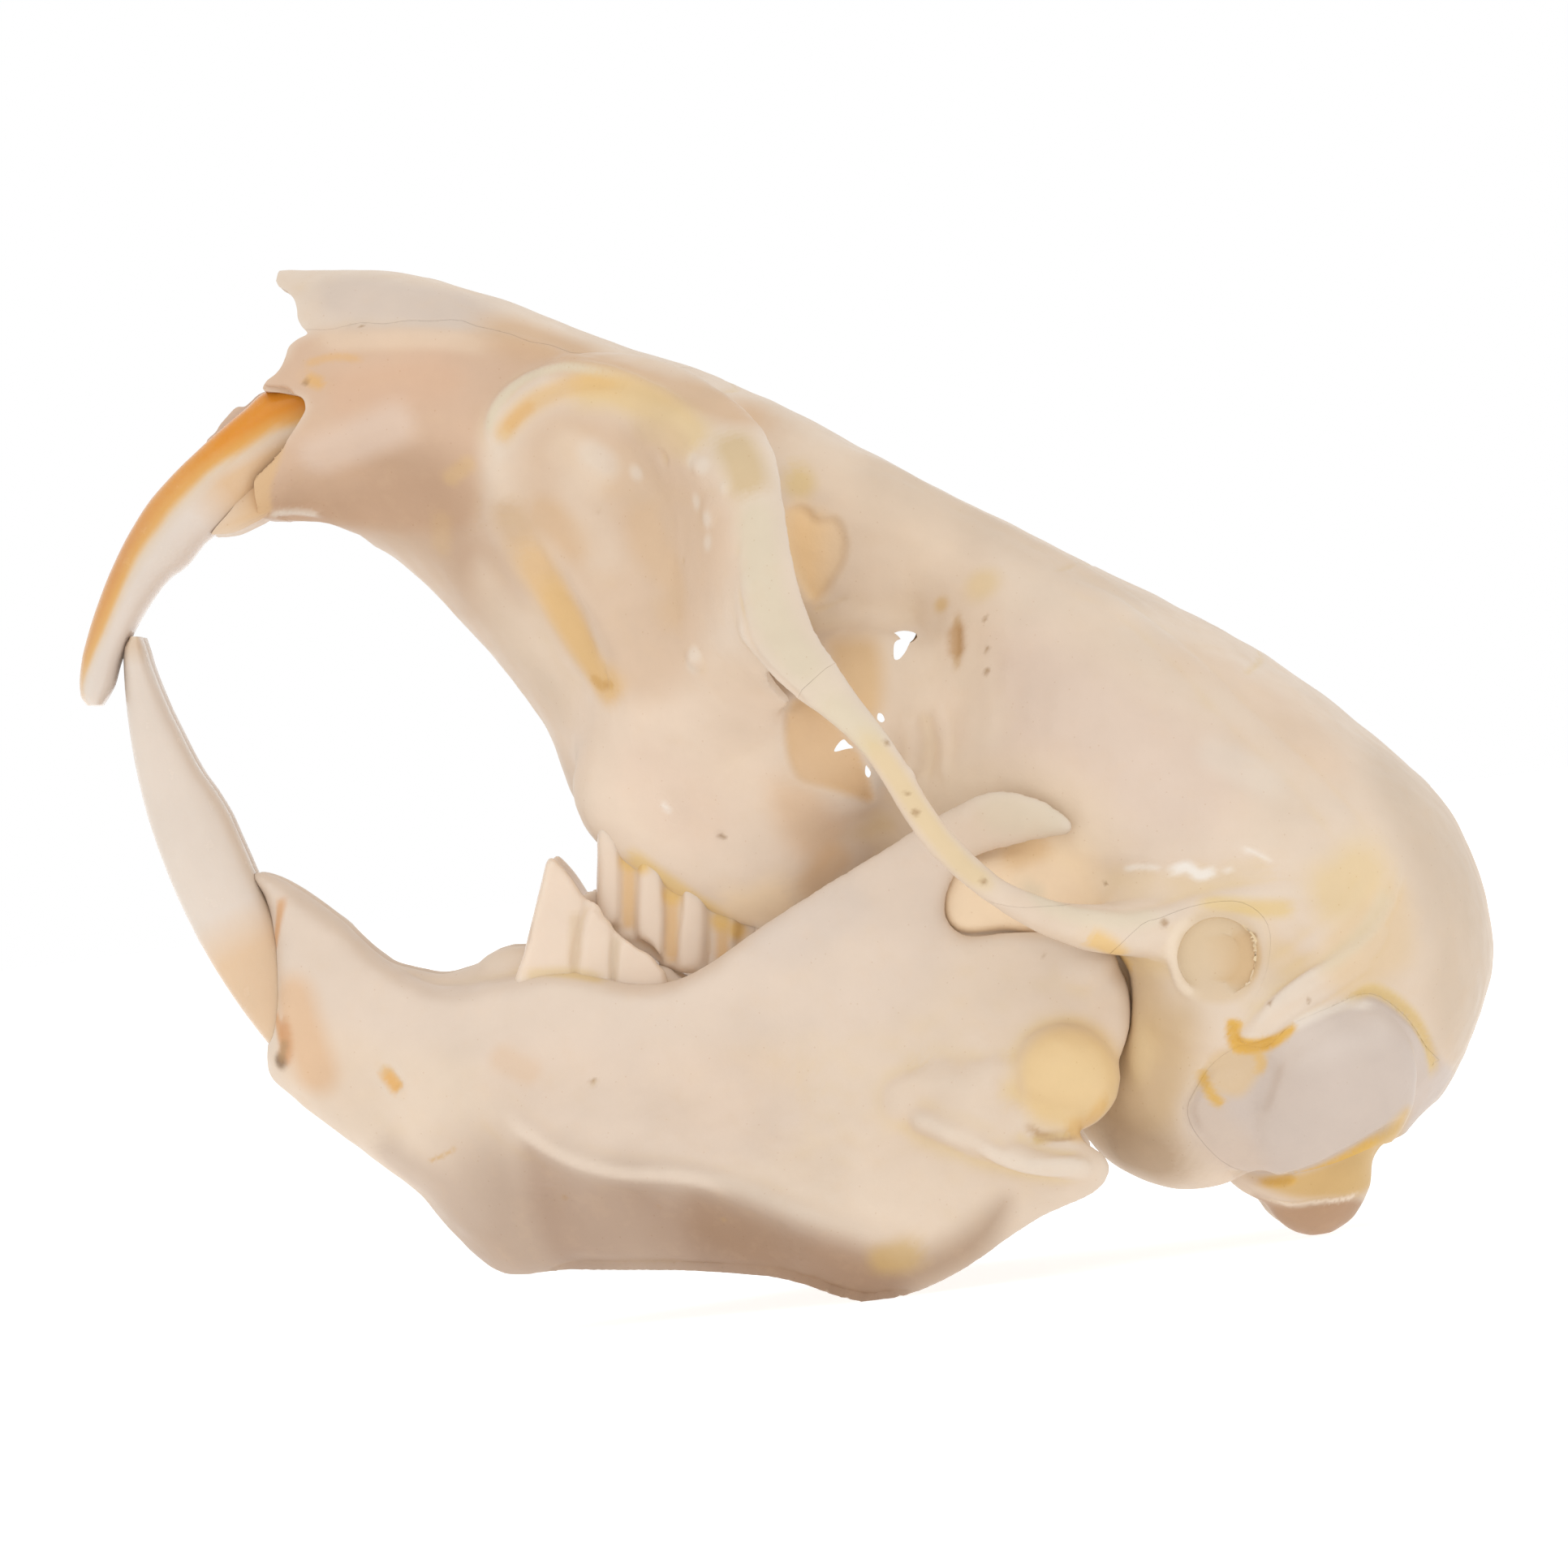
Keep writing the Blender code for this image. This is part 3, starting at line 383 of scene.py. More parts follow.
def refine(item, voxel, smoothing):
    remesh = item.modifiers.new("fuse", "REMESH")
    remesh.mode = "VOXEL"
    remesh.voxel_size = voxel
    if smoothing:
        smooth = item.modifiers.new("soften", "SMOOTH")
        smooth.factor = 0.5
        smooth.iterations = smoothing
    return bake(item)


def fillet(item, reach, voxel):
    """Fills the creases between fused pieces: the surface is swollen by reach, skinned anew, and shrunk back."""
    refine(item, voxel, 1)
    set_places(item, vertex_places(item) + normals_of(item) * reach)
    refine(item, voxel, 1)
    set_places(item, vertex_places(item) - normals_of(item) * reach)
    return item


def averager(a, b, count):
    """A function that gives each vertex the mean place of its neighbours over the edges from a to b."""
    valence = np.maximum(np.bincount(a, minlength=count) + np.bincount(b, minlength=count), 1)[:, None]

    def mean(v):
        total = [np.bincount(a, v[b, k], count) + np.bincount(b, v[a, k], count) for k in range(3)]
        return np.column_stack(total) / valence

    return mean


def keep_largest(item):
    """Keeps the largest closed surface. Groups are found by spreading the lowest number over the edges."""
    a, b = edge_ends(item)
    label = np.arange(len(item.data.vertices))
    while True:
        low = np.minimum(label[a], label[b])
        fresh = label.copy()
        np.minimum.at(fresh, a, low)
        np.minimum.at(fresh, b, low)
        fresh = fresh[fresh]
        if (fresh == label).all():
            break
        label = fresh
    names, sizes = np.unique(label, return_counts=True)
    if len(names) > 1:
        bm = bmesh.new()
        bm.from_mesh(item.data)
        bm.verts.ensure_lookup_table()
        drop = np.flatnonzero(label != names[sizes.argmax()])
        bmesh.ops.delete(bm, geom=[bm.verts[i] for i in drop], context="VERTS")
        bm.to_mesh(item.data)
        bm.free()
    return item


def moved(item, matrix):
    item.data.transform(matrix)
    return item


def copy_of(item, name):
    twin = item.copy()
    twin.data = item.data.copy()
    twin.name = twin.data.name = name
    bpy.context.scene.collection.objects.link(twin)
    return twin


def flip(item):
    moved(item, Matrix.Diagonal((1, -1, 1, 1))).data.flip_normals()
    return item


def mirrored(item, name):
    return flip(copy_of(item, name))


def both_sides(pieces):
    return pieces + [mirrored(piece, piece.name + "_right") for piece in pieces]


def sight_tree(item):
    return BVHTree.FromObject(item, bpy.context.evaluated_depsgraph_get())


# Drawing on a surface, in the sheet frame


def ray(x, y):
    """The way from the camera to a spot of the picture."""
    return Vector(((x - PICTURE / 2) * UNIT, AWAY, -(y - PICTURE / 2) * UNIT)).normalized()


def spot(x, y, depth):
    """The spot of the picture at a depth, negative towards the camera."""
    scale = (AWAY + depth) / AWAY * UNIT
    return (MIDDLE[0] + (x - PICTURE / 2) * scale, depth, MIDDLE[1] - (y - PICTURE / 2) * scale)


def seen_prism(outline, low, high, grow=0.0, at=-8.0):
    """A region drawn in the picture as seen at one depth, reaching straight across from low to high."""
    edge = np.array([spot(x, y, at)[::2] for x, y in outline])
    edge += (edge - edge.mean(0)) * grow / 3
    return prism("region", through(edge, 4 * len(edge), closed=True), low - grow, high + grow)


def seen_solid(name, outline, near, far, soft=0.0, foot=None, share=1.0, count=5):
    """A solid drawn in the picture between two depths, its near edge rounded by soft px. Towards its far side
    its height over foot shrinks to a share."""
    edge = through(outline, count * len(outline), closed=True)
    middle = edge.mean(0)
    rings = []
    for turn in (0.1, 0.35, 0.65, 1.0) if soft else (1.0,):
        inner = edge - (edge - middle) / np.abs(edge - middle).max(0) * soft * (1 - math.sin(turn * math.pi / 2))
        rings.append([spot(x, y, near + soft * UNIT * (1 - math.cos(turn * math.pi / 2))) for x, y in inner])
    last = edge.copy()
    if foot is not None:
        last[:, 1] = foot + (last[:, 1] - foot) * share
    rings.append([spot(x, y, far) for x, y in last])
    return skin(name, rings)


class Surface:
    """A mesh to raise, sink and tint along drawn lines. Both sides are worked alike, unless told otherwise."""

    def __init__(self, item, tint="bone"):
        self.item = item
        self.places = vertex_places(item)
        self.renew()
        self.tint = np.tile(srgb(tint), (len(self.places), 1))
        self.gloss = np.zeros(len(self.places))
        self.edges = edge_ends(item)

    def renew(self):
        """Writes the changed places back, and reads the new normals and sight lines."""
        set_places(self.item, self.places)
        self.normals = normals_of(self.item)
        self.tree = sight_tree(self.item)

    def land(self, x, y):
        """Where the sight line through a spot of the picture meets the surface."""
        return self.tree.ray_cast(EYE, ray(x, y))[0]

    def line(self, path, step):
        if len(path[0]) == 3:
            given = through(path, 30 * len(path))
            return np.array([self.tree.find_nearest(TO_SHEET @ Vector(point))[0] for point in given])
        if len(path) > 1:
            length = np.linalg.norm(np.diff(np.array(path), axis=0), axis=1).sum() * UNIT
            path = through(path, max(3, int(length / step)))
        found = [self.land(x, y) for x, y in path]
        return np.array([point for point in found if point is not None])

    def near(self, path, radius, sides):
        """Which vertices lie within radius of the line, and how strongly, from 0 to 1. A line fades at its ends."""
        line = self.line(path, min(radius / 3, 0.12))
        if not len(line):
            return np.array([], int), np.array([])
        share = (np.arange(len(line)) + 0.5) / len(line)
        taper = max(0.2, radius / (1e-6 + np.linalg.norm(np.diff(line, axis=0), axis=1).sum()))
        fade = np.clip(np.minimum(share, 1 - share) / taper, 0, 1) if taper < 0.45 else np.ones(len(line))
        fade = fade * fade * (3 - 2 * fade)
        places = self.places.copy()
        if sides == "both":
            places[:, 1] = -np.abs(places[:, 1])
        index = np.flatnonzero(((places > line.min(0) - radius) & (places < line.max(0) + radius)).all(1))
        nearest, strong = np.full(len(index), 1e9), np.zeros(len(index))
        for low in range(0, len(index), BATCH):
            part = slice(low, low + BATCH)
            reach = np.linalg.norm(places[index[part]][:, None] - line[None], axis=2)
            nearest[part] = reach.min(1)
            strong[part] = fade[reach.argmin(1)]
        kept = nearest < radius
        return index[kept], (1 - (nearest[kept] / radius) ** 2) ** 2 * strong[kept]

    def region(self, outline, soft, under):
        """Which outward vertices are seen inside an outline of the picture, and how strongly, from 0 to 1."""
        edge = through(outline, 6 * len(outline), closed=True)
        away = np.abs(self.places[:, 1])
        scale = (AWAY - away) / AWAY * UNIT
        x = PICTURE / 2 + (self.places[:, 0] - MIDDLE[0]) / scale
        y = PICTURE / 2 - (self.places[:, 2] - MIDDLE[1]) / scale
        seen = np.column_stack([x, y])
        facing = self.normals[:, 1] * np.sign(self.places[:, 1])
        inside = ((seen > edge.min(0) - soft) & (seen < edge.max(0) + soft)).all(1)
        index = np.flatnonzero(inside & (away > 0) & (away < under) & (facing > 0))
        share = np.clip(0.5 + inside_by(seen[index], edge) / soft, 0, 1)
        return index, share * share * (3 - 2 * share) * np.clip(facing[index] * 5, 0, 1)

    def raise_by(self, found, height):
        index, strength = found
        self.places[index] += self.normals[index] * (strength * height)[:, None]

    def lift(self, outline, height, soft, under=99.0):
        self.raise_by(self.region(outline, soft, under), height)

    def push(self, path, radius, height):
        self.raise_by(self.near(path, radius, "both"), height)

    def patch(self, outline, tint, amount, soft, under=99.0):
        index, strength = self.region(outline, soft, under)
        self.tint[index] += (srgb(tint) - self.tint[index]) * (strength * amount)[:, None]

    # Paints a tint along a line: the bone's own colours and stains, and also painted light and painted shade
    def dye(self, path, radius, tint, amount, sides="both"):
        index, strength = self.near(path, radius, sides)
        share = np.clip(strength * amount * 1.25, 0, min(1, amount))[:, None]
        self.tint[index] += (srgb(tint) - self.tint[index]) * share

    def wet(self, path, radius, amount=1.0):
        index, strength = self.near(path, radius, "left")
        self.gloss[index] = np.maximum(self.gloss[index], strength * amount)

    def blend_where(self, share, tint):
        self.tint += (srgb(tint) - self.tint) * np.clip(share, 0, 1)[:, None]

    def ruffle(self, size, height, seed):
        self.places += self.normals * (waves(self.places, size, seed) * height)[:, None]

    def relax(self, path, radius, rounds):
        """Softens the surface along a line."""
        index, strength = self.near(path, radius, "both")
        local = np.full(len(self.places), -1)
        local[index] = np.arange(len(index))
        ends = local[self.edges]
        mean = averager(*ends[:, (ends >= 0).all(0)], len(index))
        soft, share = self.places[index], (strength * 0.95)[:, None]
        for _ in range(rounds):
            soft += (mean(soft) - soft) * share
        self.places[index] = soft

    def hollowness(self, rounds):
        """How far each vertex lies below its surroundings along its normal, in mm: positive in a hollow."""
        mean = averager(*self.edges, len(self.places))
        soft = self.places
        for _ in range(rounds):
            soft = (soft + mean(soft)) / 2
        return ((soft - self.places) * self.normals).sum(1)

    def store(self):
        store_tint(self.item, self.tint, self.gloss)


def store_tint(item, tint, gloss):
    colour = item.data.attributes.new("tint", "FLOAT_COLOR", "POINT")
    colour.data.foreach_set("color", np.hstack([tint, np.ones((len(tint), 1))]).astype(np.float32).ravel())
    wet = item.data.attributes.new("gloss", "FLOAT", "POINT")
    wet.data.foreach_set("value", gloss.astype(np.float32))


def draw(surface, table):
    """Works a surface by a table. A row reads: action, its values, and the lines or outlines that it follows."""
    limits = {"left": ("sides", "left"), "thin": ("under", THIN_BONE)}
    for (action, *words), where in rows_of(table):
        values = [value_of(word) for word in words if word not in limits]
        extra = dict(limits[word] for word in words if word in limits)
        for path in where.split("|") if where else [None]:
            drawn = [OUTLINE.get(path.strip()) or spots(path)] if path else []
            getattr(surface, action)(*drawn, *values, **extra)


# Tables of the model


# Rods that are fused or cut: x, y, z, half height, half thickness
ROD_ROWS = """
cheek_band: 9.4,-3.3,13.3,.45,.6 11.4,-4.7,13.6,.55,.55 13.4,-6.9,13.1,.7,.46 14.5,-8.7,11.95,.74,.42
  15.4,-9.5,10.7,.74,.4 16.2,-9.9,9.62,.78,.4 17.4,-10.1,8.65,.72,.42 19,-10.3,7.9,.6,.42
cheek_fill: 8.6,-3.2,12.3,1,.8 11.2,-4,12.5,1.2,1.1 13.2,-5.4,12.6,.8,1
cheek_arch: 15.6,-9.6,9.1,.75,.5 17.8,-10,8.25,.75,.5 19.3,-10.2,7.76,.52,.46 20.7,-10.4,7.16,.44,.44
  22.5,-10.4,6.05,.45,.44 23.8,-10.3,5.55,.42,.44 25.2,-10,5.25,.42,.48 26.6,-9.4,5.3,.5,.6 28.2,-8.5,5.75,.7,.9
  30,-7.4,6.9,.9,1
tooth_bed: 13.2,-2.3,4.6,1.3,1.1 14.9,-2.7,4,2.35,1.35 17.4,-2.8,3.7,2.55,1.45 19.3,-2.8,3.9,2.55,1.4
  20.6,-2.6,4.7,2.1,1.2 22,-2.3,5.6,1.3,1
pterygoid: 20.6,-1.9,4.2,1.3,.3 22.6,-1.8,3.5,1.6,.27 24.8,-2.2,3.4,1.1,.27 27.5,-3.2,3.6,.7,.4
ear_tube: 31.3,-6,6.1,1.25,1.25 31,-7.4,6.38,1.16,1.16 30.9,-8.6,6.45,1.14,1.14
nape_crest: 32.6,-7.9,4.6,.3,.4 33.3,-8.05,6,.35,.45 34,-7.7,7.6,.38,.5 34.6,-6.8,9,.36,.5 35,-5.2,9.8,.3,.5
nose_hole: -2,0,9.45,1.2,1.95 .8,0,10.1,1.35,1.95 3.2,0,11,1.4,1.8 6.2,0,11.4,.9,1.2
nape_hole: 31.6,0,6.6,2.2,4.2 34.2,0,6,2.3,3.6 36,0,4.9,1.9,2.4 39.8,0,3.5,1.95,2.35
palate: 14.6,0,1.2,.8,1.1 17.5,0,1.6,1.4,1.35 20.4,0,2.1,1.5,1.3 23.4,0,3,1.3,1.2
nose_channel: 22.2,0,3.9,1.3,1.2 25,0,3.4,.9,1.1 28,0,3,.6,1
palate_slit: 9.6,-.4,4.6,.25,.25 11.2,-.4,3.9,.25,.25
jaw_tooth_bed: -20.4,-1.4,-.55,.45,.4 -19.2,-1.6,-.95,.5,.5 -18.2,-1.9,-1.2,.6,.55 -17.1,-2.3,-1.05,.75,.65
  -16.2,-2.6,-.75,.9,.7 -13.5,-2.9,-1,.9,.75 -11,-3.4,-1.9,.8,.7
root_sheath: -6.5,-6.6,-4.4,1.1,.9 -3.8,-7.2,-3.8,1.1,.95 -1.6,-7.5,-3.2,1.1,1
angle_crest: -5.6,-7.4,-4.3,.4,.6 -3.9,-8.2,-4.9,.42,.7 -2.3,-8.9,-5.5,.36,.6 -.7,-9.1,-5.72,.28,.45
"""
ROD = {name: spots(where) for (name,), where in rows_of(ROD_ROWS)}


# Outlines in the picture. The snout is cut away before its front; dried tissue fills the jaw's notch and the gap
# between the jaw joint and the bulla; a thin wall and a leaf stand behind and between the upper incisors.
OUTLINE_ROWS = """
snout_front: 230,300 338,300 338,344 352,357 362,368 366,380 367,392 372,402 380,412 367,419 357,428 353,440 348,452
  340,462 329,471 326,481 350,484 371,489 378,500 375,515 350,550 330,572 313,591 312,606 315,622 321,637 345,640
  372,640 398,643 425,651 447,662 470,692 440,730 300,720 230,700
premaxilla_edge: 430,402 378,404 358,414 345,430 330,455 318,468 318,486 360,494 430,500
socket_wall: 350,548 322,566 306,595 285,628 262,655 265,658 286,656 304,649 322,640 334,628 334,600
tooth_leaf: 350,476 322,483 308,495 300,501 290,502 279,512 270,522 264,531 252,543 262,556 300,530 350,512
notch_pad: 1174,1064 1159,1110 1176,1149 1244,1148 1316,1153 1330,1090 1262,1048 1212,1052
joint_pad: 1344,1150 1374,1170 1392,1202 1395,1242 1386,1305 1402,1336 1426,1300 1430,1230 1425,1165 1400,1140
eye_pit: 970,634 976,627 986,624 996,628 1003,637 1012,641 1030,638 1042,665 1037,695 1025,715 1010,733 998,737
  985,715 974,690 967,660
window: 976,864 968,900 972,936 985,960 1010,969 1050,981 1076,984 1060,930 1030,892 1000,866
nape_leaf: 1532,1282 1556,1246 1600,1208 1645,1180 1700,1142 1700,1165 1650,1212 1600,1248 1560,1282
ear_lens: 1524,1146 1546,1152 1554,1180 1544,1208 1520,1216 1508,1200 1512,1170
mastoid: 1498,1308 1530,1288 1560,1290 1592,1262 1640,1241 1690,1225 1734,1252 1764,1292 1792,1330 1760,1400
  1700,1412 1640,1436 1580,1450 1520,1440 1478,1402 1464,1368 1478,1336
auditory_bulla: 1392,1150 1430,1130 1480,1114 1530,1112 1562,1140 1562,1190 1540,1240 1512,1274 1490,1300 1472,1334
  1458,1368 1474,1408 1520,1448 1560,1500 1400,1520 1270,1420 1300,1260
zygomatic_arch: 975,876 1078,800 1150,900 1240,1030 1330,1102 1280,1116 1225,1112 1150,1080 1060,980
jaw_underside: 648,1410 705,1440 760,1457 850,1464 915,1485 1000,1519 1060,1539 1100,1560 1090,1640 740,1640
  690,1570 655,1480
"""
OUTLINE = {name: spots(where) for (name,), where in rows_of(OUTLINE_ROWS)}
OUTLINE["pit_heart"] = OUTLINE["eye_pit"][:6] + OUTLINE["eye_pit"][10:]
OUTLINE["underside_back"] = [(760, 1460), *OUTLINE["jaw_underside"][3:-2], (860, 1640)]


# Gaps in the wall of the eye socket that light shows through
SIGHT_HOLES = """
1103,791 1112,787 1122,788 1119,796 1115,804 1108,812 1102,812 1101,801 | 1082,879 1087,880 1090,887 1086,890
1081,886 | 1028,926 1033,916 1040,911 1046,917 1053,921 1042,923 | 1067,943 1071,944 1073,953 1070,958 1066,953
"""


# Cranium


def core():
    # Rows of: back, top, floor, half width, height of the widest place, powers above and below
    stations = spots("""
        .95,12.10,4.50,2.30,9.60,2.4,2.6 2,12.70,4.50,2.80,9.20,2.4,2.4 4,13.40,5.85,3.35,9.60,2.4,2.1
        6,13.72,6.05,3.60,10,2.4,2 9,14.02,5.20,3.75,10.4,2.4,2 12,14.45,3.85,3.75,10.6,2.5,2
        14.5,14.55,2,3.55,11.2,2.6,1.9 17,14.48,2.90,3.20,12.2,2.8,1.7 19.5,14.45,3.40,3.15,12,2.8,1.8
        21.3,14.46,4,4.70,10.6,2.6,2.2 23.2,14.47,4.30,6.40,9.60,2.4,2.1 25.5,14.49,4.30,7.50,9,2.3,2
        28,14.46,4.10,8.05,8.60,2.2,2.1 31,14.08,3.80,8.20,8.40,2.2,2.4 33.5,13.50,3.50,7.95,9,2.2,2.2
        35.1,12.98,3.20,7.30,8.80,2.1,2.2 36.2,12.20,3.20,6.60,8.40,2.1,2.2 37.3,11.10,3.30,5.60,8,2.1,2.2
        38.2,9.75,4,4.10,7.20,2,2 38.6,7.90,5.80,1.80,6.90,2,2
    """)
    places = np.linspace(stations[0][0], stations[-1][0], 150)
    rings = []
    for back, values in zip(places, track(stations, places)):
        top, floor, half, widest, square_up, square_down = values
        across, height = oval(96, half, top - widest, widest - floor, square_up, square_down)
        rings.append(np.column_stack([np.full(96, back), across, widest + height]))
    return skin("core", rings)


def nasal_roof():
    # Rows of: back, top, half width, droop, thickness
    stations = spots("""
        -.2,11.6,1.2,.3,.35 .7,12.05,1.8,1,.45 1.5,12.45,2.25,1.9,.5 3.2,13.2,2.4,1.45,.7 6,13.75,2.35,.95,.9
    """)
    places = np.linspace(stations[0][0], stations[-1][0], 40)
    across = np.linspace(-1, 1, 25)
    rings = []
    for back, (top, half, droop, thickness) in zip(places, track(stations, places)):
        outer = np.column_stack([np.full(25, back), across * half, top - droop * across**2])
        rings.append(np.vstack([outer, (outer - [0, 0, thickness])[::-1]]))
    return skin("nasal_roof", rings)


def cheek_root():
    outline = spots("""
        7.1,10.4 7.3,11.6 8,12.9 9.6,13.8 12.4,14.1 14,13.5 14.9,12.2 16.1,10.5 17.8,9.1 19.8,8 20,7.1 18.4,7.5
        17.8,7 18,6.2 18.9,5.6 18.4,4.4 16,3.8 14,4.5 12,6.2 10.4,7.2 8.3,8.6
    """)
    landmarks = spots("""
        7.3,10.2,-4.1,-2.9 7.8,12,-4.5,-3 8.7,12.9,-4.9,-3.2 10.9,13.3,-6.1,-3.9 13.1,12.8,-8.1,-6.4
        13.9,12,-8.8,-7.6 14.6,10.9,-9.4,-8.2 15.4,9.6,-9.8,-8.6 16.3,8.5,-10,-8.8 15,12.3,-8.5,-7.7
        16.5,10.6,-9.6,-8.8 18.1,9.2,-10.2,-9.4 19.9,7.6,-10.6,-9.6 8.6,14.1,-2.6,-1.6 11.5,14.3,-2.8,-1.8
        13.9,14.1,-3.6,-2.6 9.3,11.2,-4.3,-3 11,11.2,-4.9,-3.4 12.6,10.9,-6.2,-5 10,9.2,-4.3,-3 11.6,8.8,-4.9,-3.4
        13.3,9.2,-6.1,-5 12.8,7.4,-5.1,-3.6 14.5,8.2,-6.9,-5.6 14.3,6.4,-5.6,-4 8.2,8.7,-4,-2.8 10.4,7.3,-4,-2.8
        13.4,5.3,-4.3,-3 15.8,7.1,-6.9,-5.4 17.6,6.9,-6.6,-5.4 18.8,5.7,-5.4,-4 16,4.6,-4.7,-3 14.2,4.2,-4.1,-2.6
        18.4,4.4,-4.4,-3
    """)
    return plate("cheek_root", outline, landmarks, rim=0.45)


def rod(name, **shape):
    return sweep(name, ROD[name], **shape)


def paired_pieces():
    """The left one of each piece that is fused onto the core."""
    return [
        cheek_root(),
        rod("cheek_band", tall_way=(1, 0, 0.5), count=70),
        rod("cheek_fill"),
        rod("cheek_arch", count=80),
        rod("tooth_bed"),
        rod("pterygoid"),
        ball("bulla", (31.8, -5.0, 3.05), (3.35, 2.5, 2.98), turn=(0, 0, -28), segments=64),
        ball("bulla_neck", (31.5, -6.7, 5.6), (2.3, 1.7, 2.3)),
        rod("ear_tube", sides=48, round_ends=(False, False)),
        ball("mastoid", (35.1, -6.2, 4.6), (2.65, 2.2, 2.75), turn=(0, 12, -24), segments=64),
        rod("nape_crest", tall_way=(1, 0, 0)),
        ball("occipital_condyle", (36.4, -2.65, 2.3), (1.55, 1.2, 1.8), turn=(24, -25, 12)),
        ball("tooth_roots", (19.3, -3.3, 7.3), (2.5, 2.4, 3.2), turn=(0, 24, 0), segments=48),
        ball("joint_roof", (25.9, -4.5, 5.3), (2.4, 1.4, 1.9)),
        ball("condyle_root", (35.0, -3.1, 2.5), (1.7, 1.3, 1.55)),
        ball("brain_base", (33.0, -1.6, 4.1), (5.0, 2.4, 1.3)),
        moved(seen_solid("notch_pad", OUTLINE["notch_pad"], -6.75, -3.0, 8), TO_SHEET.inverted()),
        moved(seen_solid("joint_pad", OUTLINE["joint_pad"], -7.35, -5.0, 10), TO_SHEET.inverted()),
    ]


def cranium_cutters():
    front = "-3,8.5 1,8.55 1.8,8.9 2.3,8.6 2.25,7.8 1.9,6.4 2.1,5.4 1.7,4.9 -3,4.9"
    pairs = [
        ball("eye_socket", (18.7, -8.0, 9.6), (2.3, 2.3, 2.6), turn=(0, 24, 0)),
        ball("socket_floor", (19.7, -8.2, 6.9), (1.4, 2.0, 1.25), turn=(0, 24, 0)),
        rod("palate_slit"),
    ]
    return [
        rod("nose_hole", sides=32),
        prism("tooth_front", spots(front), -4, 4),
        rod("nape_hole", sides=40),
        rod("palate"),
        rod("nose_channel"),
        *both_sides(pairs),
    ]


UPPER_INCISOR = {
    "root": (2.95, 10.3),
    "edge": (0.42, -1.5),
    "radius": 9.1,
    "turn": 1,
    # along, front and back of the tooth under the arc
    "rows": spots("""
        -.03,0,2.1 .19,.05,2.2 .25,.22,2.25 .32,.33,2.3 .4,.38,2.36 .47,.37,2.38 .54,.34,2.25 .6,.35,2.2 .63,.35,2.1
        .66,.35,1.93 .75,.32,1.66 .85,.22,1.37 .9,.15,1.22 .95,.12,1.1 .98,.16,.93 1,.34,.76
    """),
    "width": 2.1,
    "side": 1.075,
}


LOWER_INCISOR = {
    "root": (-21.8, -4.0),
    "edge": (-27.05, 8.3),
    "radius": 17.2,
    "turn": -1,
    "rows": spots("""
        -.03,.04,2.2 .5,.02,2.24 .6,.01,2.18 .67,0,1.98 .72,0,1.74 .77,0,1.54 .82,0,1.35 .865,0,1.15 .92,0,.92
        .97,0,.71 .995,.02,.62 1.02,.2,.5
    """),
    "width": 1.94,
    "side": 1.02,
}


def incisor_arc(spec, extra=0.0):
    """The arc's centre, its first angle, its whole angle and its radius."""
    root, edge = Vector(spec["root"]), Vector(spec["edge"])
    chord = edge - root
    half_angle = spec["turn"] * math.asin(chord.length / 2 / spec["radius"])
    back = spec["turn"] * Vector((-chord.y, chord.x)).normalized()
    centre = (root + edge) / 2 + back * spec["radius"] * math.cos(half_angle)
    start = math.atan2(root.y - centre.y, root.x - centre.x)
    return centre, start, 2 * half_angle, spec["radius"] + extra


def incisor(name, spec, extra=0.0, rings_along=190, sides=96):
    centre, start, whole, radius = incisor_arc(spec, extra)
    shares = np.linspace(-0.02 if extra else 0.0, spec["rows"][-1][0], rings_along)
    rings = []
    for share, (front, back) in zip(shares, track(spec["rows"], shares)):
        angle = start + whole * share
        out = Vector((math.cos(angle), math.sin(angle)))
        half = (back - front) / 2 + extra
        middle = centre + out * (radius - front - half)
        across, deep = oval(sides, spec["width"] / 2 + extra, half, half, 3.0, 2.6)
        spots = [(middle + out * d, a) for a, d in zip(across, deep)]
        rings.append([(place.x, a - spec["side"], place.y) for place, a in spots])
    return skin(name, rings)


def sight_hole(outline, tree):
    """A passage straight along the line of sight, wider behind the thin wall."""
    edge = through(outline, 24, closed=True)
    middle = edge.mean(0)
    way = ray(*middle)
    walls = []
    for start, onward in ((EYE + way * (AWAY - 9), way), (EYE + way * (AWAY + 8), -way)):
        hit = tree.ray_cast(start, onward)[0]
        walls.append(min(abs(hit.y), 6.0) if hit else 3.0)
    near, far = walls
    wide = edge + (edge - middle) / np.linalg.norm(edge - middle, axis=1)[:, None] * 10
    rows = ((edge, -8.6), (edge, 0.35 - near), (wide, 0.6 - near), (wide, far - 0.6), (edge, far - 0.35), (edge, 9.5))
    return skin("sight_hole", [[spot(x, y, depth) for x, y in ring] for ring, depth in rows])


def ear_dish():
    """The shallow closed mouth of the ear tube."""
    angle = np.linspace(0, 2 * math.pi, 48, endpoint=False)
    turned = np.column_stack([np.cos(angle), np.sin(angle)])
    rows = ((51, -9.6), (49, -8.43), (46, -8.36), (30, -8.33))
    return skin("ear_dish", [[spot(x, y, depth) for x, y in (1500, 1179) + turned * size] for size, depth in rows])


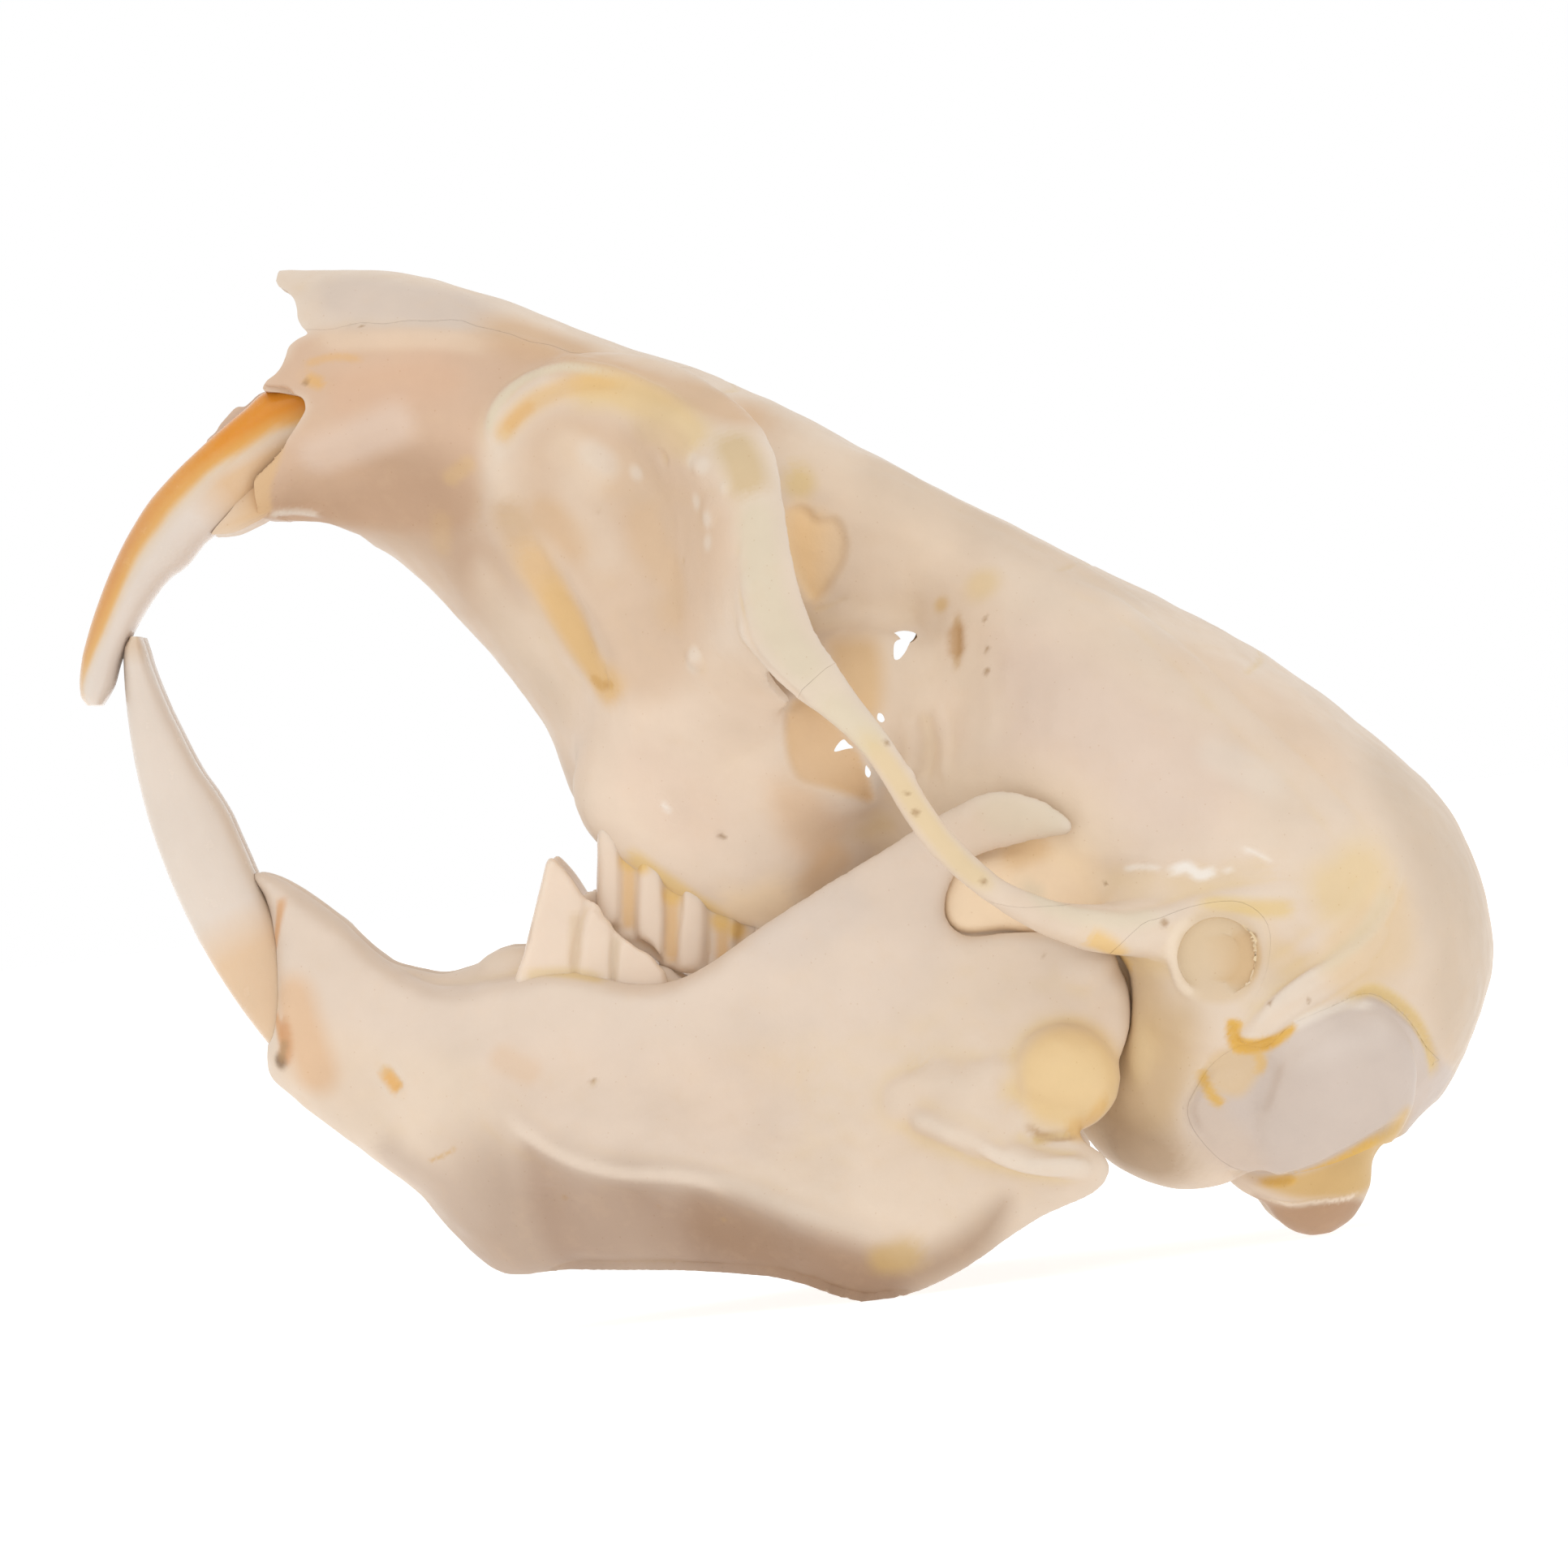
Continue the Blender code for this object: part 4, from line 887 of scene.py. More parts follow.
def cranium():
    """The whole fused cranium, in the sheet frame."""
    whole = combine(core(), [nasal_roof(), *both_sides(paired_pieces())], "UNION")
    fillet(whole, 0.45, 0.15)
    combine(whole, cranium_cutters(), "DIFFERENCE")
    refine(whole, FINE, 14)
    moved(keep_largest(whole), TO_SHEET)
    edge = seen_solid("premaxilla_edge", OUTLINE["premaxilla_edge"], -2.25, -1.45)
    combine(whole, both_sides([edge]), "UNION")
    front = seen_prism(OUTLINE["snout_front"], -5, 5, at=-2.1)
    combine(whole, [front, *both_sides([ear_dish()])], "DIFFERENCE")
    combine(whole, both_sides([moved(incisor("socket", UPPER_INCISOR, 0.03, 80, 48), TO_SHEET)]), "DIFFERENCE")
    wall = seen_prism(OUTLINE["socket_wall"], -1.8, 1.8, at=-1.9)
    combine(whole, [wall, seen_prism(OUTLINE["tooth_leaf"], -0.3, 0.3, at=-1)], "UNION")
    return keep_largest(whole)


def pierce(whole):
    """Opens the gaps in the wall of the eye socket."""
    tree = sight_tree(whole)
    combine(whole, [sight_hole(spots(outline), tree) for outline in SIGHT_HOLES.split("|")], "DIFFERENCE")
    return keep_largest(whole)


# Ridges and hollows seen on the left, worked alike on both sides
CRANIUM_SHAPE = """
# Where the fused pieces meet
relax 1.5 120: 740,455 800,480 850,520 885,570 905,640 915,720
relax .7 30: 600,520 640,475 720,455 800,470
relax 1.2 60: 950,500 990,580 1010,660
relax 1.5 120: 1090,640 1160,690 1185,770 1160,850 1120,900
relax 1.5 160: 590,580 640,680 700,780 760,870 | 620,560 670,640 720,740 780,850
relax 2 160: 690,850 740,900 800,930 900,930
relax 1.6 120: 720,980 760,990 830,1000 920,1000 980,980
relax 1.2 60: 1250,1080 1400,1085 1500,1070 1620,1080
relax 1.3 120: 1600,1180 1640,1150 1690,1090 1720,1040
relax .9 60: 1540,1300 1700,1200 1760,1300 1740,1400 1600,1460 | 1430,1230 1470,1250 1530,1240
renew
# Curled rim of the zygomatic plate and the groove inside it
push .26 .09: 604,555 603,522 616,492 640,470 670,456 706,451 750,456 800,474 850,505 892,548
push .36 -.12: 610,560 618,538 632,515 652,497 680,482 712,473 748,471 800,488
push 1.8 .12: 700,550 725,570
# Infraorbital trough, its deep end, and the ridges beside it
push 1 -.16: 612,610 640,655 668,700 700,750 735,815
push .85 -.17: 680,725 708,775 734,822 750,842
push .3 -.12: 735,838 752,842
push .8 -.08: 655,612 705,655 738,700 760,740
push .5 .06: 650,645 700,708 745,768 776,830
push .7 .06: 598,600 612,650 650,722 700,802 738,862
# Uneven face of the plate
push 1.2 -.1: 812,570 808,640 822,720 815,790
push .5 .1: 745,566
push .42 .1: 860,572
push .6 .1: 872,632
push .25 .08: 893,600
push .4 .14: 856,812
push .35 -.1: 818,565
push .14 -.08: 840,690
push .12 -.06: 738,628
push 1 .12: 818,990
push .14 -.15: 890,1030
# Where the cheekbone lies on the plate's process
push .2 -.06: 908,690 917,768 929,800 953,828 984,858 1000,872
push .25 -.03: 900,585 910,640 908,700
# Seam of the nasal bone, and the ledge under it
push .5 .1: 392,420 440,416 520,412 600,416 680,434 760,458
# Snout: hollow along its lower side, swelling over the incisor's root
push 1.8 -.34: 300,612 400,600 470,596 545,620 580,680
push 1.4 .18: 350,560 420,545 490,520 540,510
push .6 -.07: 385,470 440,474 520,470 590,480
push .35 -.1: 566,580
push .3 .1: 330,633 370,632 400,636
# The pit of the eye socket and the window under the band, sharp where thin bone ends
lift -.12 10 thin: eye_pit | window
push .12 -.04: 1000,752 1022,746 1045,734
# Faint pillars on the side wall behind the eye
push .3 .07: 1122,880 1127,920 1122,962 | 1152,862 1165,912 1161,965
push .28 -.08: 1138,872 1146,918 1141,965
push .2 -.06: 1179,768 1180,790 1179,812
# Temporal line and the shelf above the ear
push .6 .1: 1270,692 1380,748 1460,812 1530,885 1600,950 1660,1020 1700,1075
push .4 .1: 1230,1085 1305,1120 1370,1133 1430,1129 1480,1113 1540,1104 1640,1095
lift -.07 9: ear_lens
push .22 .06: 1476,1120 1450,1148 1443,1182 1455,1215 1480,1232
push .8 -.12: 1300,1080 1420,1086 1500,1078 1600,1066
# The leaf of bone that lies over the mastoid, with thin ridges fanning up to the nape
lift .1 14: nape_leaf
push .2 .1: 1535,1278 1566,1240 1602,1210 1642,1184 1690,1148 1716,1105 1732,1050
push .2 -.05: 1545,1272 1600,1232 1650,1202 1700,1160
push .16 .04: 1570,1262 1640,1222 1695,1182
push .3 .04: 1560,1200 1610,1165 1660,1120 1690,1070
push .26 -.14: 1518,1255 1522,1285 1545,1288 1575,1280
# Mastoid: a small lobe in front, a large one behind, and a furrow all round
push .7 .16: 1530,1318
push 1.6 .16: 1640,1300 1660,1340
push .9 .14: 1560,1400 1520,1400
push .4 -.12: 1572,1300 1560,1340 1548,1370
push .22 -.12: 1600,1262 1650,1240 1692,1226 1738,1256 1764,1296 1770,1330
push .28 -.2: 1500,1440 1560,1452 1620,1442 1690,1405 1740,1375
push .22 -.14: 1500,1305 1478,1336 1466,1368 1480,1400
# Joint face of the condyle
push .14 -.08: 1545,1474 1590,1484 1620,1481 1658,1478
# Midline and cross seams over the roof
push .16 -.05: 6,0,14 12,0,15 20,0,15 28,0,15 | 12.2,0,15 12.6,-1.6,15 12,-3,14.6 | 23.6,0,15 23.2,-2.5,15
  22.4,-4.5,14 | 28.6,0,15 28.8,-3,15 28.4,-5.2,13.6
push .5 .08: 15.5,-2.4,15 18.5,-1.8,15 22,-2.6,15 26,-4,14.5
renew
ruffle 2.4 .028 3
ruffle .9 .012 4
renew
"""


# Hollows of the eye socket: painted warm shade, and painted light that lifts the pit
# Own colour of the dried tissue of the joint pad
# Own warm tone of the bulla, darkened by painted shade on its lower side
# Painted highlight on the dome of the plate
# Painted highlight on the left wall of the ear's ring
# Painted highlight on the upper part of the mastoid
# Painted highlights on the small lumps of the plate
# Painted highlights, small waxy glints, over the ear and one on the maxilla
# Painted light on the swelling over the incisor's root
# Painted light where the jaw shades the bone over the teeth
# Painted light: brighter tints where the bone lies hemmed in and in shade, standing in for the light that passes
# through thin bone there
# Painted shade along the hollow lower side of the snout
# Painted shade along the roof, where it curves away from the light
# Painted shade in the shallow hollow behind the dome
# Painted shade on the underside of the bulla
# Painted warm shade in the trough, deepest at its lower end
# Painted warm shade under the curled rim of the plate and in the groove inside it
# Yellow tissue in the gap in front of the ear, deepened by painted shade
CRANIUM_TINTS = """
# Light that passes through thin bone where it is hemmed in
patch .955,.86,.755 .75 70 thin: 980,540 1100,610 1200,680 1240,780 1210,900 1130,985 1060,880 1020,760 975,640
patch .96,.87,.78 .8 60: 630,740 740,850 900,850 985,870 970,960 1070,985 1000,1085 930,1150 850,1120 740,1030
  690,930
patch .985,.89,.765 .7 90 thin: 1130,960 1340,960 1340,1150 1130,1190
patch 1.03,.92,.765 .8 50 thin: 1150,1080 1230,1030 1310,1030 1350,1080 1340,1150 1160,1160
patch 1.01,.9,.765 .6 20 thin: notch_pad
dye .6 .98,.82,.6 .6: 1228,1064 1262,1050 1300,1036
patch .85,.725,.55 .8 60: 1380,1240 1470,1240 1470,1330 1440,1400 1380,1420 1320,1380
patch .9,.78,.59 .8 34 thin: joint_pad
# Snout
patch .87,.725,.605 .85 30: 378,412 500,406 640,416 710,442 640,466 596,520 590,580 570,650 430,650 320,640 310,590
  378,500 320,480 350,440
patch .76,.61,.485 .74 90: 312,606 345,600 400,590 450,572 500,556 560,568 600,640 640,730 600,760 520,690 440,660
  318,642
dye 1.6 .865,.795,.74 .7: 360,360 450,365 540,375 640,400
dye .5 .93,.82,.71 .8: 378,420 450,418 540,418 620,428
dye 1.2 .89,.725,.6 .5: 392,500 440,486 520,470 590,462
dye .3 orange .8: 372,462 388,470 402,474
dye .18 orange .5: 372,450 410,440 450,443
dye 1 .915,.82,.745 .6: 360,575 410,556 470,530 520,505
dye 1.3 .87,.725,.575 .8: 560,402 640,412 720,440 820,478 900,502 1000,545
dye .5 amber .22: 545,625 543,690
dye .2 pale .8: 330,634 365,632 395,636
patch .9,.745,.56 .9 8: socket_wall
# Zygomatic plate and its trough
patch .875,.75,.63 .7 60: 640,540 700,500 790,520 850,560 905,640 880,760 830,850 760,850 700,740 640,640
dye .9 .925,.8,.56 .65: 690,480 760,480 830,515 870,560
dye .5 .93,.75,.47 .55: 612,548 622,532 640,510 662,493 700,478 740,474 780,482
dye .3 orange .6: 622,532 640,512 660,496
dye .22 green .8: 604,541 603,520 614,496 638,472 670,457 706,452 780,466
dye .9 .95,.86,.76 .5: 700,552 725,585
dye .7 pale .5: 730,560 745,572
dye .5 tan .4: 775,530 820,535 850,560
dye .8 .84,.7,.54 .6: 618,606 632,645 660,690
dye .8 .87,.72,.55 .55: 640,618 690,648 732,695
dye 1 .92,.765,.56 .85: 630,650 672,715 712,785 748,838 768,870
dye .75 .92,.755,.5 .65: 668,700 700,762 734,820 762,860
dye .24 .85,.66,.38 .7: 728,832 742,845 757,842
dye 1 bone .4: 700,560 730,640 760,720
dye .9 .9,.765,.615 .6: 786,610 800,665 832,720 824,790
dye .8 .885,.765,.6 .5: 770,520 820,540 828,575
dye .36 pale .55: 852,568 | 866,574 | 893,598 | 858,618 | 870,640 | 872,668 | 784,582 | 855,806 | 852,822
patch .925,.84,.745 .65 40: 590,690 640,740 700,850 690,900 640,830 590,750
dye .4 amber .4: 556,588 576,572
# Band and arch
dye .9 green .75: 925,600 932,660 945,740 975,800 1030,860
dye .9 .865,.755,.575 .85: 890,525 915,570 925,620
dye .8 green .8: 1000,845 1050,895 1090,930
dye .5 .92,.81,.59 .6: 1050,890 1095,945 1140,1010 1190,1070 1235,1098
dye .6 white .5: 1080,960
dye .7 yellow .6: 965,570 985,595 970,560
# Hollows of the eye socket
patch 1,.87,.7 .8 26 thin: eye_pit
patch 1.03,.87,.64 .8 44 thin: pit_heart
patch .915,.755,.565 .85 14 thin: window
patch .915,.755,.54 .8 34 thin: 1020,800 1045,785 1080,792 1088,840 1080,885 1050,880
dye .35 amber .7: 1160,745
dye .8 yellow .4: 1210,720
# Alveolar part
dye 1.3 .93,.79,.645 .7: 950,930 1000,1020 1040,1050
dye .7 orange .35: 1030,1060 1000,1090
dye .5 .96,.82,.55 .8: 765,1048 800,1072 850,1106 900,1134 925,1146
dye 1.6 .93,.82,.73 .4: 800,950 860,1010
dye 1.1 1.05,.94,.79 .8: 870,1112 930,1120 1000,1085
# Side and roof of the braincase
dye 3 pink .45: 1250,850 1350,900 1450,960
dye 1.2 .96,.885,.79 .45: 1200,830 1215,890
dye 1.6 peach .35: 1420,780 1550,860 1680,980
dye 1.6 .86,.765,.665 .5: 1020,550 1150,615 1300,690 1480,770
dye .9 pale .4: 1500,930 1560,960
dye .5 green .6: 1240,1080 1310,1120 1380,1132 1440,1124
dye .5 .95,.79,.5 .8: 1338,1154 1370,1170 1398,1196
dye 1.4 yellow .45: 1600,1120 1660,1090 1720,1030
patch .93,.8,.6 .5 40: 1630,1170 1700,1100 1735,1100 1740,1180 1690,1215 1650,1225
dye .4 yellow .6: 1470,1110 1540,1118 1600,1120
patch .84,.75,.65 .7 60: 1690,930 1770,980 1840,1100 1840,1260 1790,1330 1762,1240 1756,1120 1720,1030
dye .4 green .5: 1620,1200 1680,1150 1715,1090
# Ear
patch .895,.79,.65 .8 14: 1448,1150 1470,1128 1505,1122 1545,1140 1556,1180 1540,1222 1500,1236 1460,1222 1443,1185
patch .875,.735,.55 .85 8: ear_lens
dye .26 .97,.89,.79 .8: 1476,1124 1450,1150 1444,1182 1455,1214 1478,1230
dye 1.1 tan .5: 1410,1180 1420,1280
dye 1.7 .74,.625,.5 .85: 1340,1390 1400,1420 1500,1450
# Mastoid with its seams
patch .852,.785,.734 1 12: mastoid
patch .86,.775,.7 .7 30: 1455,1360 1480,1350 1540,1400 1560,1445 1500,1440 1465,1405
patch .9,.78,.61 .8 16: 1500,1295 1560,1288 1552,1320 1530,1350 1500,1345 1488,1325
dye 1 .91,.85,.8 .5: 1600,1292 1690,1264
dye .3 .97,.92,.86 .7: 1580,1270 1620,1250 1660,1238 1695,1236
patch .93,.73,.33 .95 7: 1512,1258 1531,1260 1528,1276 1548,1280 1572,1274 1592,1262 1594,1272 1564,1294 1520,1296
dye .22 yolk .6: 1545,1296 1555,1310 1548,1325
dye .24 .9,.72,.38 .95: 1478,1316 1490,1345 1508,1364
dye .3 .92,.79,.52 .8: 1650,1232 1695,1220 1740,1253 1760,1298 1768,1328
patch .89,.745,.5 .95 16: 1555,1455 1620,1440 1700,1395 1735,1365 1725,1400 1700,1450 1680,1470 1640,1476 1590,1474
dye .24 yolk .8: 1540,1458 1600,1452 1660,1426 1710,1394
# Condyle
patch .75,.59,.45 .85 14: 1540,1476 1590,1486 1680,1480 1690,1540 1530,1540
dye .1 1,.93,.85 .9 left: 1545,1473 1590,1484 1620,1481 1658,1477 1676,1468
# Waxy glints over the ear
dye .12 1,.975,.94 .45 left: 1530,1046 1545,1050 1568,1062
dye .12 1,.975,.94 .5 left: 1505,1074 1520,1070
dye .12 1,.975,.94 .6 left: 816,988 826,1003
dye .13 1,.975,.94 .5 left: 1382,1071 1405,1068 1432,1070
dye .24 1,.975,.94 .8 left: 1438,1076 1462,1068 1478,1078 1500,1072
# Stains, on the left only
dye .2 .84,.69,.5 .7 left: 1179,752 1180,790 1179,828
dye .42 .8,.63,.44 .8 left: 1179,780 1180,800
dye .07 .66,.51,.34 .7 left: 446,402
dye .08 .66,.51,.34 .7 left: 738,628
dye .1 .66,.51,.34 .7 left: 1612,1234 | 1117,978 | 1546,1152 | 1362,1088
dye .12 .66,.51,.34 .7 left: 1214,762 | 1216,800
dye .13 .66,.51,.34 .7 left: 890,1031 | 1565,1234
dye .14 .66,.51,.34 .7 left: 1093,915 | 1212,1086 | 377,471
dye .16 .66,.51,.34 .7 left: 1216,827 | 1128,1001
dye .18 .66,.51,.34 .7 left: 1435,1137
wet .5: 1385,1066 1430,1070 1480,1074 1530,1068 1570,1058
wet .3: 1530,1040 1560,1055
wet .4: 815,985 830,1005
wet .5 .6: 850,560 880,620 860,680
wet .4 .5: 740,565 750,620
"""


def tint_cranium(s):
    small = s.hollowness(14)
    wide = s.hollowness(110)
    # Amber and yellow in hollows: partly dried tissue left there, partly painted warm shade; paler over ridges
    s.blend_where(np.clip(wide * 1.2, 0, 0.3), "amber")
    s.blend_where(np.clip(small * 9, 0, 0.45), "yellow")
    s.blend_where(np.clip(-small * 7, 0, 0.5), "pale")
    patchy = waves(s.places, 7, 11)
    s.blend_where(np.clip(patchy, 0, 1) * 0.25, "peach")
    s.blend_where(np.clip(waves(s.places, 4, 12), 0, 1) * 0.2, "pale")
    draw(s, CRANIUM_TINTS)


def nasal_region(grow):
    seam = spots("-.6,9.6 1.4,10.42 2.75,11.3 3.95,11.97 5.2,12.6 8.5,13.3 12.6,14.8")
    edge = through(seam, 40)
    wavy = edge + np.column_stack([np.zeros(40), 0.04 * np.sin(edge[:, 0] * 5.2)])
    below = [(x - grow * 0.3, z - grow) for x, z in wavy]
    return moved(prism("region", [*below, (12.6 + grow, 16), (-1, 16)], -3.4 - grow, 3.4 + grow), TO_SHEET)


def part_cranium(whole, surface):
    """Parts the cranium along the seams between its bones, and gives each bone its share of the tints."""
    tree = kdtree.KDTree(len(surface.places))
    for i, place in enumerate(surface.places):
        tree.insert(place, i)
    tree.balance()
    pieces = {}

    def take(name, make_region, turn):
        pieces[name] = copy_of(whole, name)
        for item, grow, operation in ((pieces[name], 0.0, "INTERSECT"), (whole, SEAM, "DIFFERENCE")):
            combine(item, [turn(make_region(grow))], operation)
            keep_largest(item)

    for side, turn in (("left", lambda region: region), ("right", flip)):
        for bone, low in (("mastoid", -4.6), ("auditory_bulla", -2.3), ("zygomatic_arch", -8.7)):
            take(f"{bone}_{side}", lambda grow: seen_prism(OUTLINE[bone], -12, low, grow), turn)
    take("nasal_bones", nasal_region, lambda region: region)
    pieces["cranium"] = whole
    for name, piece in pieces.items():
        piece.name = piece.data.name = name
        found = [tree.find(place)[1] for place in vertex_places(piece)]
        store_tint(piece, surface.tint[found], surface.gloss[found])
    return pieces


# Lower jaw, built about the jaw joint


def jaw_half():
    outline = spots("""
        -23.6,2.1 -22.6,1.9 -21.2,.95 -19.9,-.2 -18.3,-.95 -16.8,-.75 -15,-.5 -12.8,-.9 -11.2,-.4 -8.9,1.18 -6.7,2.6
        -4.7,3.8 -3.3,4.35 -2,4.1 -1.2,3.3 -2.6,2.95 -4.1,2.45 -4.7,1.3 -4.2,.5 -2.8,.6 -1.3,.45 -.1,-.25 .3,-1.5
        -.2,-3.2 -1.15,-4.7 -.35,-5.45 -.6,-6.3 -2.3,-7.15 -4.3,-8.5 -6.7,-9.38 -9.2,-8.7 -12.2,-8.6 -14.8,-8.65
        -16.7,-8.8 -18.1,-7.65 -19.1,-6.5 -21.05,-5.1 -22.5,-3.95 -23.15,-3.15 -22.9,-1 -23.1,1.2
    """)
    landmarks = spots("""
        -23.2,2,-2.1,-.25 -22.8,-.5,-2.55,-.2 -23,-3.2,-2,-.2 -20.3,.3,-2.7,-.6 -20.3,-2.2,-3.2,-.2
        -20.3,-5.2,-2.5,-.2 -18.4,-.9,-3.5,-1.5 -17.6,-3.8,-4.3,-1.6 -17.8,-6.6,-3.6,-.4 -16.8,-8.4,-2.9,-1.2
        -15.6,-.6,-4.5,-2.4 -14.9,-3.4,-5.1,-2.6 -14.8,-5.7,-6,-2.9 -14.4,-8.2,-4.8,-3.2 -12,-.9,-5.4,-3.2
        -11.6,-3.6,-6,-3.5 -11.3,-6.5,-7.4,-4.2 -11.3,-8.2,-6,-4.9 -8.8,1,-6.3,-5.4 -8.4,-2,-6.2,-4.6
        -8.4,-5,-7.2,-5 -8.3,-7.3,-8.6,-5.6 -8,-8.7,-7.4,-6.2 -5.4,3.3,-7.2,-6.5 -5.4,-.5,-7,-6 -5.2,-3.6,-7.4,-5.7
        -5.2,-6.2,-8.2,-6.2 -5.3,-8.5,-7.9,-6.8 -2.6,4.2,-7.8,-7.2 -1.4,3.4,-8,-7.4 -3.6,.3,-7.2,-6.2
        -1.2,.3,-7.6,-6 .2,-1.4,-7.6,-6.3 -2.6,-2.6,-7.9,-6.1 -2.4,-4.9,-8.9,-7.3 -.7,-5.6,-9.2,-8.2
        -2.4,-6.8,-8.3,-7.3
    """)
    half = plate("jaw_plate", outline, landmarks, rim=0.6)
    knobs = [
        rod("jaw_tooth_bed"),
        ball("root_capsule", (-1.49, -7.75, -3.31), (1.5, 1.32, 1.47)),
        rod("root_sheath"),
        ball("condyle", (-1.0, -6.9, -0.35), (1.0, 0.85, 0.85)),
        rod("angle_crest"),
    ]
    combine(half, knobs, "UNION")
    keep_largest(refine(half, FINE, 12))
    combine(half, [incisor("socket", LOWER_INCISOR, 0.03, 80, 48)], "DIFFERENCE")
    return moved(keep_largest(half), Matrix.Translation(JAW_PLACE))


JAW_SHAPE = """
# Crest along the lower side over the hollow underside, and the crest that runs to the angle
relax 1 60: 1150,1300 1200,1380 1260,1400
push .6 .14: 600,1330 612,1366 650,1400 700,1430 760,1447 850,1453 915,1475 1000,1508 1090,1540
push 1.6 -.3: 640,1460 700,1495 800,1508 900,1522 1000,1552
lift -.24 56: jaw_underside
push .4 .12: 1190,1405 1240,1432 1290,1440 1350,1424
push 2.8 -.2: 740,1350 880,1345 1040,1340
push .5 .1: 820,1196 900,1152 1000,1088 1110,1020
push .8 .1: 1120,1300 1180,1345 1230,1372 1290,1390
push .4 .06: 1180,1010 1210,985 1260,978 1310,1000
push 1.6 .14: 1312,1328
push .5 -.06: 1246,1290 1238,1330 1252,1372
# Small openings for vessels
push .34 -.16: 468,1312 483,1331 495,1346
push .12 -.06: 727,1340 736,1326
push .2 -.14: 1270,1402 1300,1400 1345,1392
renew
ruffle 2.6 .03 21
ruffle .9 .012 22
renew
"""


# Painted highlight along the edge of the crest
# Painted shade on the underside, which faces down away from the light
# Painted shadow under the rim of the root capsule
JAW_TINTS = """
patch .92,.842,.77 .75 60: 330,1060 480,1180 640,1200 760,1215 900,1150 1100,1030 1180,1080 1100,1260 700,1300
  450,1280 340,1200
patch .93,.845,.77 .6 50: 600,1290 760,1280 900,1300 1000,1380 900,1440 700,1420 620,1370
patch .79,.69,.605 .6 110: 560,1400 640,1410 700,1440 720,1600 540,1600 500,1500 530,1440
patch .72,.61,.525 .6 120: 590,1430 680,1440 780,1470 780,1640 560,1640
patch .655,.53,.435 .75 110: underside_back
patch .675,.55,.46 .5 36: jaw_underside
patch .65,.51,.39 .7 50: 860,1470 1000,1520 1100,1550 1180,1520 1240,1480 1200,1560 1060,1610 960,1580 860,1530
dye 1.1 .81,.715,.635 .6: 450,1400 500,1440 560,1480 600,1530
dye .3 .95,.87,.79 .7: 612,1362 650,1398 700,1428 760,1445 850,1452 915,1474
dye .6 peach .6: 620,1305 650,1320
dye 1.2 .865,.8,.745 .5: 900,1180 1000,1140 1080,1090
dye .4 yellow .55: 640,1198 700,1200 750,1210
dye 1 .91,.745,.58 .75: 360,1230 372,1270 390,1320
dye .25 .88,.66,.45 .8: 348,1100 340,1160 338,1230 348,1290
dye .35 .85,.62,.42 .8: 348,1250 352,1290 347,1312
dye .32 .95,.75,.48 1: 470,1315 485,1333 494,1345
patch .95,.815,.585 .85 36: 1255,1300 1285,1266 1325,1260 1365,1280 1386,1325 1372,1370 1330,1394 1280,1385
  1255,1345
dye .5 .93,.75,.46 .7: 1368,1350 1340,1385 1310,1395
dye .16 .8,.66,.5 .7: 1260,1385 1300,1404 1345,1396
dye .8 .83,.685,.42 .65: 1060,1548 1100,1550 1150,1535
dye .6 yellow .4: 1240,1060 1290,1040
dye .9 green .5: 1230,1000 1290,1010
dye .34 umber .85 left: 345,1308
dye .2 brown .7 left: 352,1280 345,1310
dye .08 .85,.7,.5 .8 left: 526,1432 545,1424 564,1414
dye .08 brown .7 left: 1285,1176 | 812,1487
dye .12 brown .7 left: 730,1332 | 696,1475
dye .14 brown .7 left: 892,1503
"""


def tint_jaw(s):
    small = s.hollowness(14)
    # Yellow in hollows: partly dried tissue, partly painted warm shade; paler over ridges
    s.blend_where(np.clip(small * 9, 0, 0.6), "yellow")
    s.blend_where(np.clip(-small * 7, 0, 0.5), "pale")
    s.blend_where(np.clip(waves(s.places, 6, 31), 0, 1) * 0.3, "peach")
    draw(s, JAW_TINTS)


# Teeth


